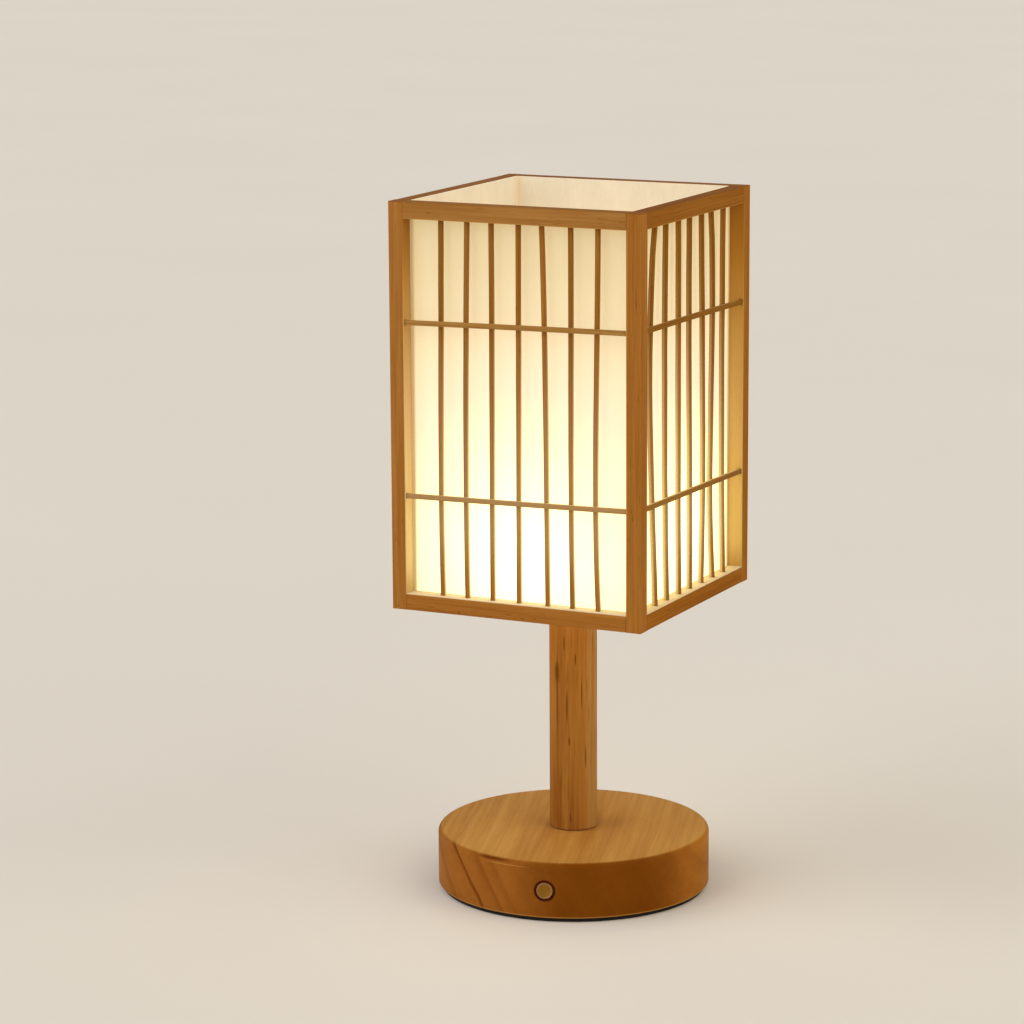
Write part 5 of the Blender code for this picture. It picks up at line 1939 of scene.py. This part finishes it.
@dataclass
class CrossBars:
    """Two half-lapped bars that carry the shade on the post."""

    draw: random.Random
    reach: float = 0.0642
    half_width: float = 0.010
    low: float = 0.1644
    top: float = 0.1694
    edge: float = 0.0005
    hole_steps: int = 48
    finish: BambooFinish = BambooFinish("cross_wood", (166, 118, 66), (206, 162, 106),
                                        (128, 84, 40), bundle=0.0014, roughness=0.5)

    def build(self) -> None:
        """Make both bars with their lap and hole, and dress them."""
        middle = (self.low + self.top) / 2
        below, above = self.low - PAST, self.top + PAST
        gap, side = self.half_width + ROOM, 2 * self.half_width
        laps = {"wide": (Axis.X, 0.0, (middle - ROOM / 2, above)),
                "deep": (Axis.Y, math.pi / 2, (below, middle + ROOM / 2))}
        for name, (grain, turn, (low, high)) in laps.items():
            bar = Bench.block(f"carrier_{name}", (-self.reach, -self.half_width, self.low),
                              (self.reach, self.half_width, self.top))
            Bench.soften(bar, self.edge)
            hole = Bench.rod("carrier_hole", TUBE_HOLE, below, above, self.hole_steps)
            Bench.cut(bar, Bench.block("carrier_lap", (-gap, -side, low), (gap, side, high)), hole)
            Bench.put(Bench.smooth(bar), turn=(0, 0, turn))
            fit(bar, self.finish, f"cross_bar_{name}",
                material=self.finish.material(bar.name, Member(grain), self.draw))


@dataclass
class Light:
    """Cup and milky dome of the light on top of the tube."""

    radius: float = 0.024
    wall: float = 0.0015
    ledge: float = 0.002
    cup_low: float = 0.1745
    cup_floor: float = 0.1765
    cup_ledge: float = 0.1838
    cup_top: float = 0.1863
    cup_edge: float = 0.0003
    groove: float = 0.1811
    groove_half: float = 0.0006
    groove_depth: float = 0.0004
    dome_low: float = 0.1866
    dome_height: float = 0.026
    dome_rings: int = 16
    steps: int = 96
    cup_finish: PlasticFinish = PlasticFinish("white_plastic", (228, 224, 214), 0.42, 0.0007,
                                              0.00004, 0.04)
    dome_finish: DomeFinish = DomeFinish()

    def build(self) -> None:
        """Turn the cup and the dome and dress them."""
        r, wall, edge = self.radius, self.radius - self.wall, self.cup_edge
        ledge, floor, half = wall - self.ledge, r - self.groove_depth, self.groove_half
        cup = [(TUBE_HOLE, self.cup_low)]
        cup += arc((wall, self.cup_low + self.wall), self.wall, -90, 0, 5)
        cup += [(r, self.groove - half), (floor, self.groove - half / 2),
                (floor, self.groove + half / 2), (r, self.groove + half),
                (r, self.cup_top - edge), (r - edge, self.cup_top), (wall, self.cup_top),
                (wall, self.cup_ledge), (ledge, self.cup_ledge), (ledge, self.cup_floor),
                (TUBE_HOLE, self.cup_floor)]
        piece = Bench.smooth(Bench.turned("light_socket_cup", cup, self.steps, closed=True))
        fit(piece, self.cup_finish, "light_cup")

        outer = self.vault(r, self.dome_height)
        inner = self.vault(wall, self.dome_height - self.wall)
        dome = Bench.turned("light_dome", outer + inner[::-1], self.steps)
        fit(Bench.smooth(dome), self.dome_finish, "diffuser_dome")

    def vault(self, radius: float, height: float) -> Profile:
        """Outline one face of the dome, from its crown down.

        Args:
            radius: Radius at the dome's foot.
            height: Height of the crown over the foot.

        Returns:
            The points as (radius, height).
        """
        angles = [math.pi / 2 * i / self.dome_rings for i in range(self.dome_rings, -1, -1)]
        return [(0, self.dome_low + height)] + [
            (radius * math.cos(a), self.dome_low + height * math.sin(a)) for a in angles[1:]]


@dataclass
class CarriedNodes:
    """Nodes of the frame that keep their shape and get a better material."""

    black: PlasticFinish = PlasticFinish("black_plastic", (26, 26, 28), 0.45)
    sleeve: PlasticFinish = PlasticFinish("cell_sleeve", (38, 96, 150), 0.35, 0.002, 0.00002, 0.06)
    red: PlasticFinish = PlasticFinish("red_wire", (176, 30, 26), 0.45)
    dark: PlasticFinish = PlasticFinish("black_wire", (24, 24, 24), 0.45)
    green: BoardFinish = BoardFinish("board_green", (32, 92, 56), (96, 140, 74))
    white: BoardFinish = BoardFinish("board_white", (236, 236, 230), (216, 206, 176))

    def dress(self) -> None:
        """Give each shown node its material."""
        groups = {
            STEEL: ("switch_nut", "charging_socket_nut", "battery_contact_positive",
                    "battery_contact_negative", "board_screw_1", "board_screw_2", "base_washer",
                    "base_nut", "threaded_tube", "shade_washer", "shade_nut", "light_cup_nut"),
            self.black: ("switch_contact_block", "battery_holder"),
            self.sleeve: ("battery_cell",),
            self.red: ("battery_wire_positive", "led_wire_positive", "switch_wire_1",
                       "charging_wire_1"),
            self.dark: ("battery_wire_negative", "led_wire_negative", "switch_wire_2",
                        "charging_wire_2"),
            self.green: ("control_board",),
            self.white: ("led_board",)}
        for finish, names in groups.items():
            material = finish.material(f"carried_{finish.slot}")
            for name in names:
                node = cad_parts[name]
                for slot in node.material_slots:
                    slot.material = material
                LOG.info("%s: carried", name)


@dataclass
class Studio:
    """Pale floor, soft light and the camera at the photograph's view.

    A sun is its name, its turn in degrees, its strength and its colour.
    """

    floor_side: float = 60.0
    floor_colour: Colour = (232, 226, 218)
    floor_cloud: float = 0.4
    sky_colour: Linear = (1.0, 0.985, 0.96, 1.0)
    sky_strength: float = 0.55
    suns: tuple[tuple[str, float, float, Colour], ...] = (
        ("left", -45.0, 1.2, (1.0, 1.0, 1.0)), ("right", 80.0, 1.0, (1.0, 0.88, 0.62)))
    sun_angle: float = math.radians(65)
    sun_tilt: float = math.radians(60)
    camera_place: Point = (0.8296, -1.7709, 0.6053)
    camera_turn: Point = (78.574, 0.321, 26.008)
    lens: float = 128.65
    sensor: float = 36.0
    sight: float = 100.0

    def build(self) -> None:
        """Set up floor, world, suns, camera and view."""
        self.floor()
        self.world()
        for side, turn, strength, colour in self.suns:
            sun = bpy.data.lights.new(f"studio_sun_{side}", "SUN")
            sun.energy = strength
            sun.color = colour
            sun.angle = self.sun_angle
            lamp = bpy.data.objects.new(f"studio_sun_{side}", sun)
            lamp.rotation_euler = (self.sun_tilt, 0.0, math.radians(turn))
            bpy.context.scene.collection.objects.link(lamp)
        self.camera()
        bpy.context.scene.view_settings.view_transform = "Standard"

    def camera(self) -> None:
        """Add the camera."""
        lens = bpy.data.cameras.new("photo_view")
        lens.lens = self.lens
        lens.sensor_width = self.sensor
        lens.clip_end = self.sight
        camera = bpy.data.objects.new("photo_view", lens)
        camera.location = self.camera_place
        camera.rotation_euler = tuple(math.radians(a) for a in self.camera_turn)
        bpy.context.scene.collection.objects.link(camera)
        bpy.context.scene.camera = camera

    def floor(self) -> None:
        """Add the floor."""
        bpy.ops.mesh.primitive_plane_add(size=self.floor_side, location=(0, 0, 0))
        floor = Bench.named("studio_floor")
        surface = Surface("studio_floor")
        colour = surface.shades(surface.noise(self.floor_cloud), self.floor_colour, 0.985, 1.0)
        floor.data.materials.append(surface.finish({"Base Color": colour, "Roughness": 0.9,
                                                    "Specular IOR Level": 0.1}))

    def world(self) -> None:
        """Light the scene evenly from all round."""
        world = bpy.context.scene.world or bpy.data.worlds.new("studio")
        bpy.context.scene.world = world
        world.use_nodes = True
        sky = world.node_tree.nodes["Background"]
        sky.inputs["Color"].default_value = self.sky_colour
        sky.inputs["Strength"].default_value = self.sky_strength


def main() -> None:
    """Build the lamp piece by piece, then the studio round it."""
    logging.basicConfig(level=logging.INFO, format="%(name)s: %(message)s")
    draw = random.Random(SEED)
    lattice = Lattice(draw)
    Base().build()
    PushButton().build()
    ChargingSocket().build()
    Underside().build()
    Post().build()
    ShadeFrame(draw, lattice).build()
    lattice.build()
    Liner().build()
    CrossBars(draw).build()
    Light().build()
    CarriedNodes().dress()
    Studio().build()


if __name__ == "__main__":
    main()
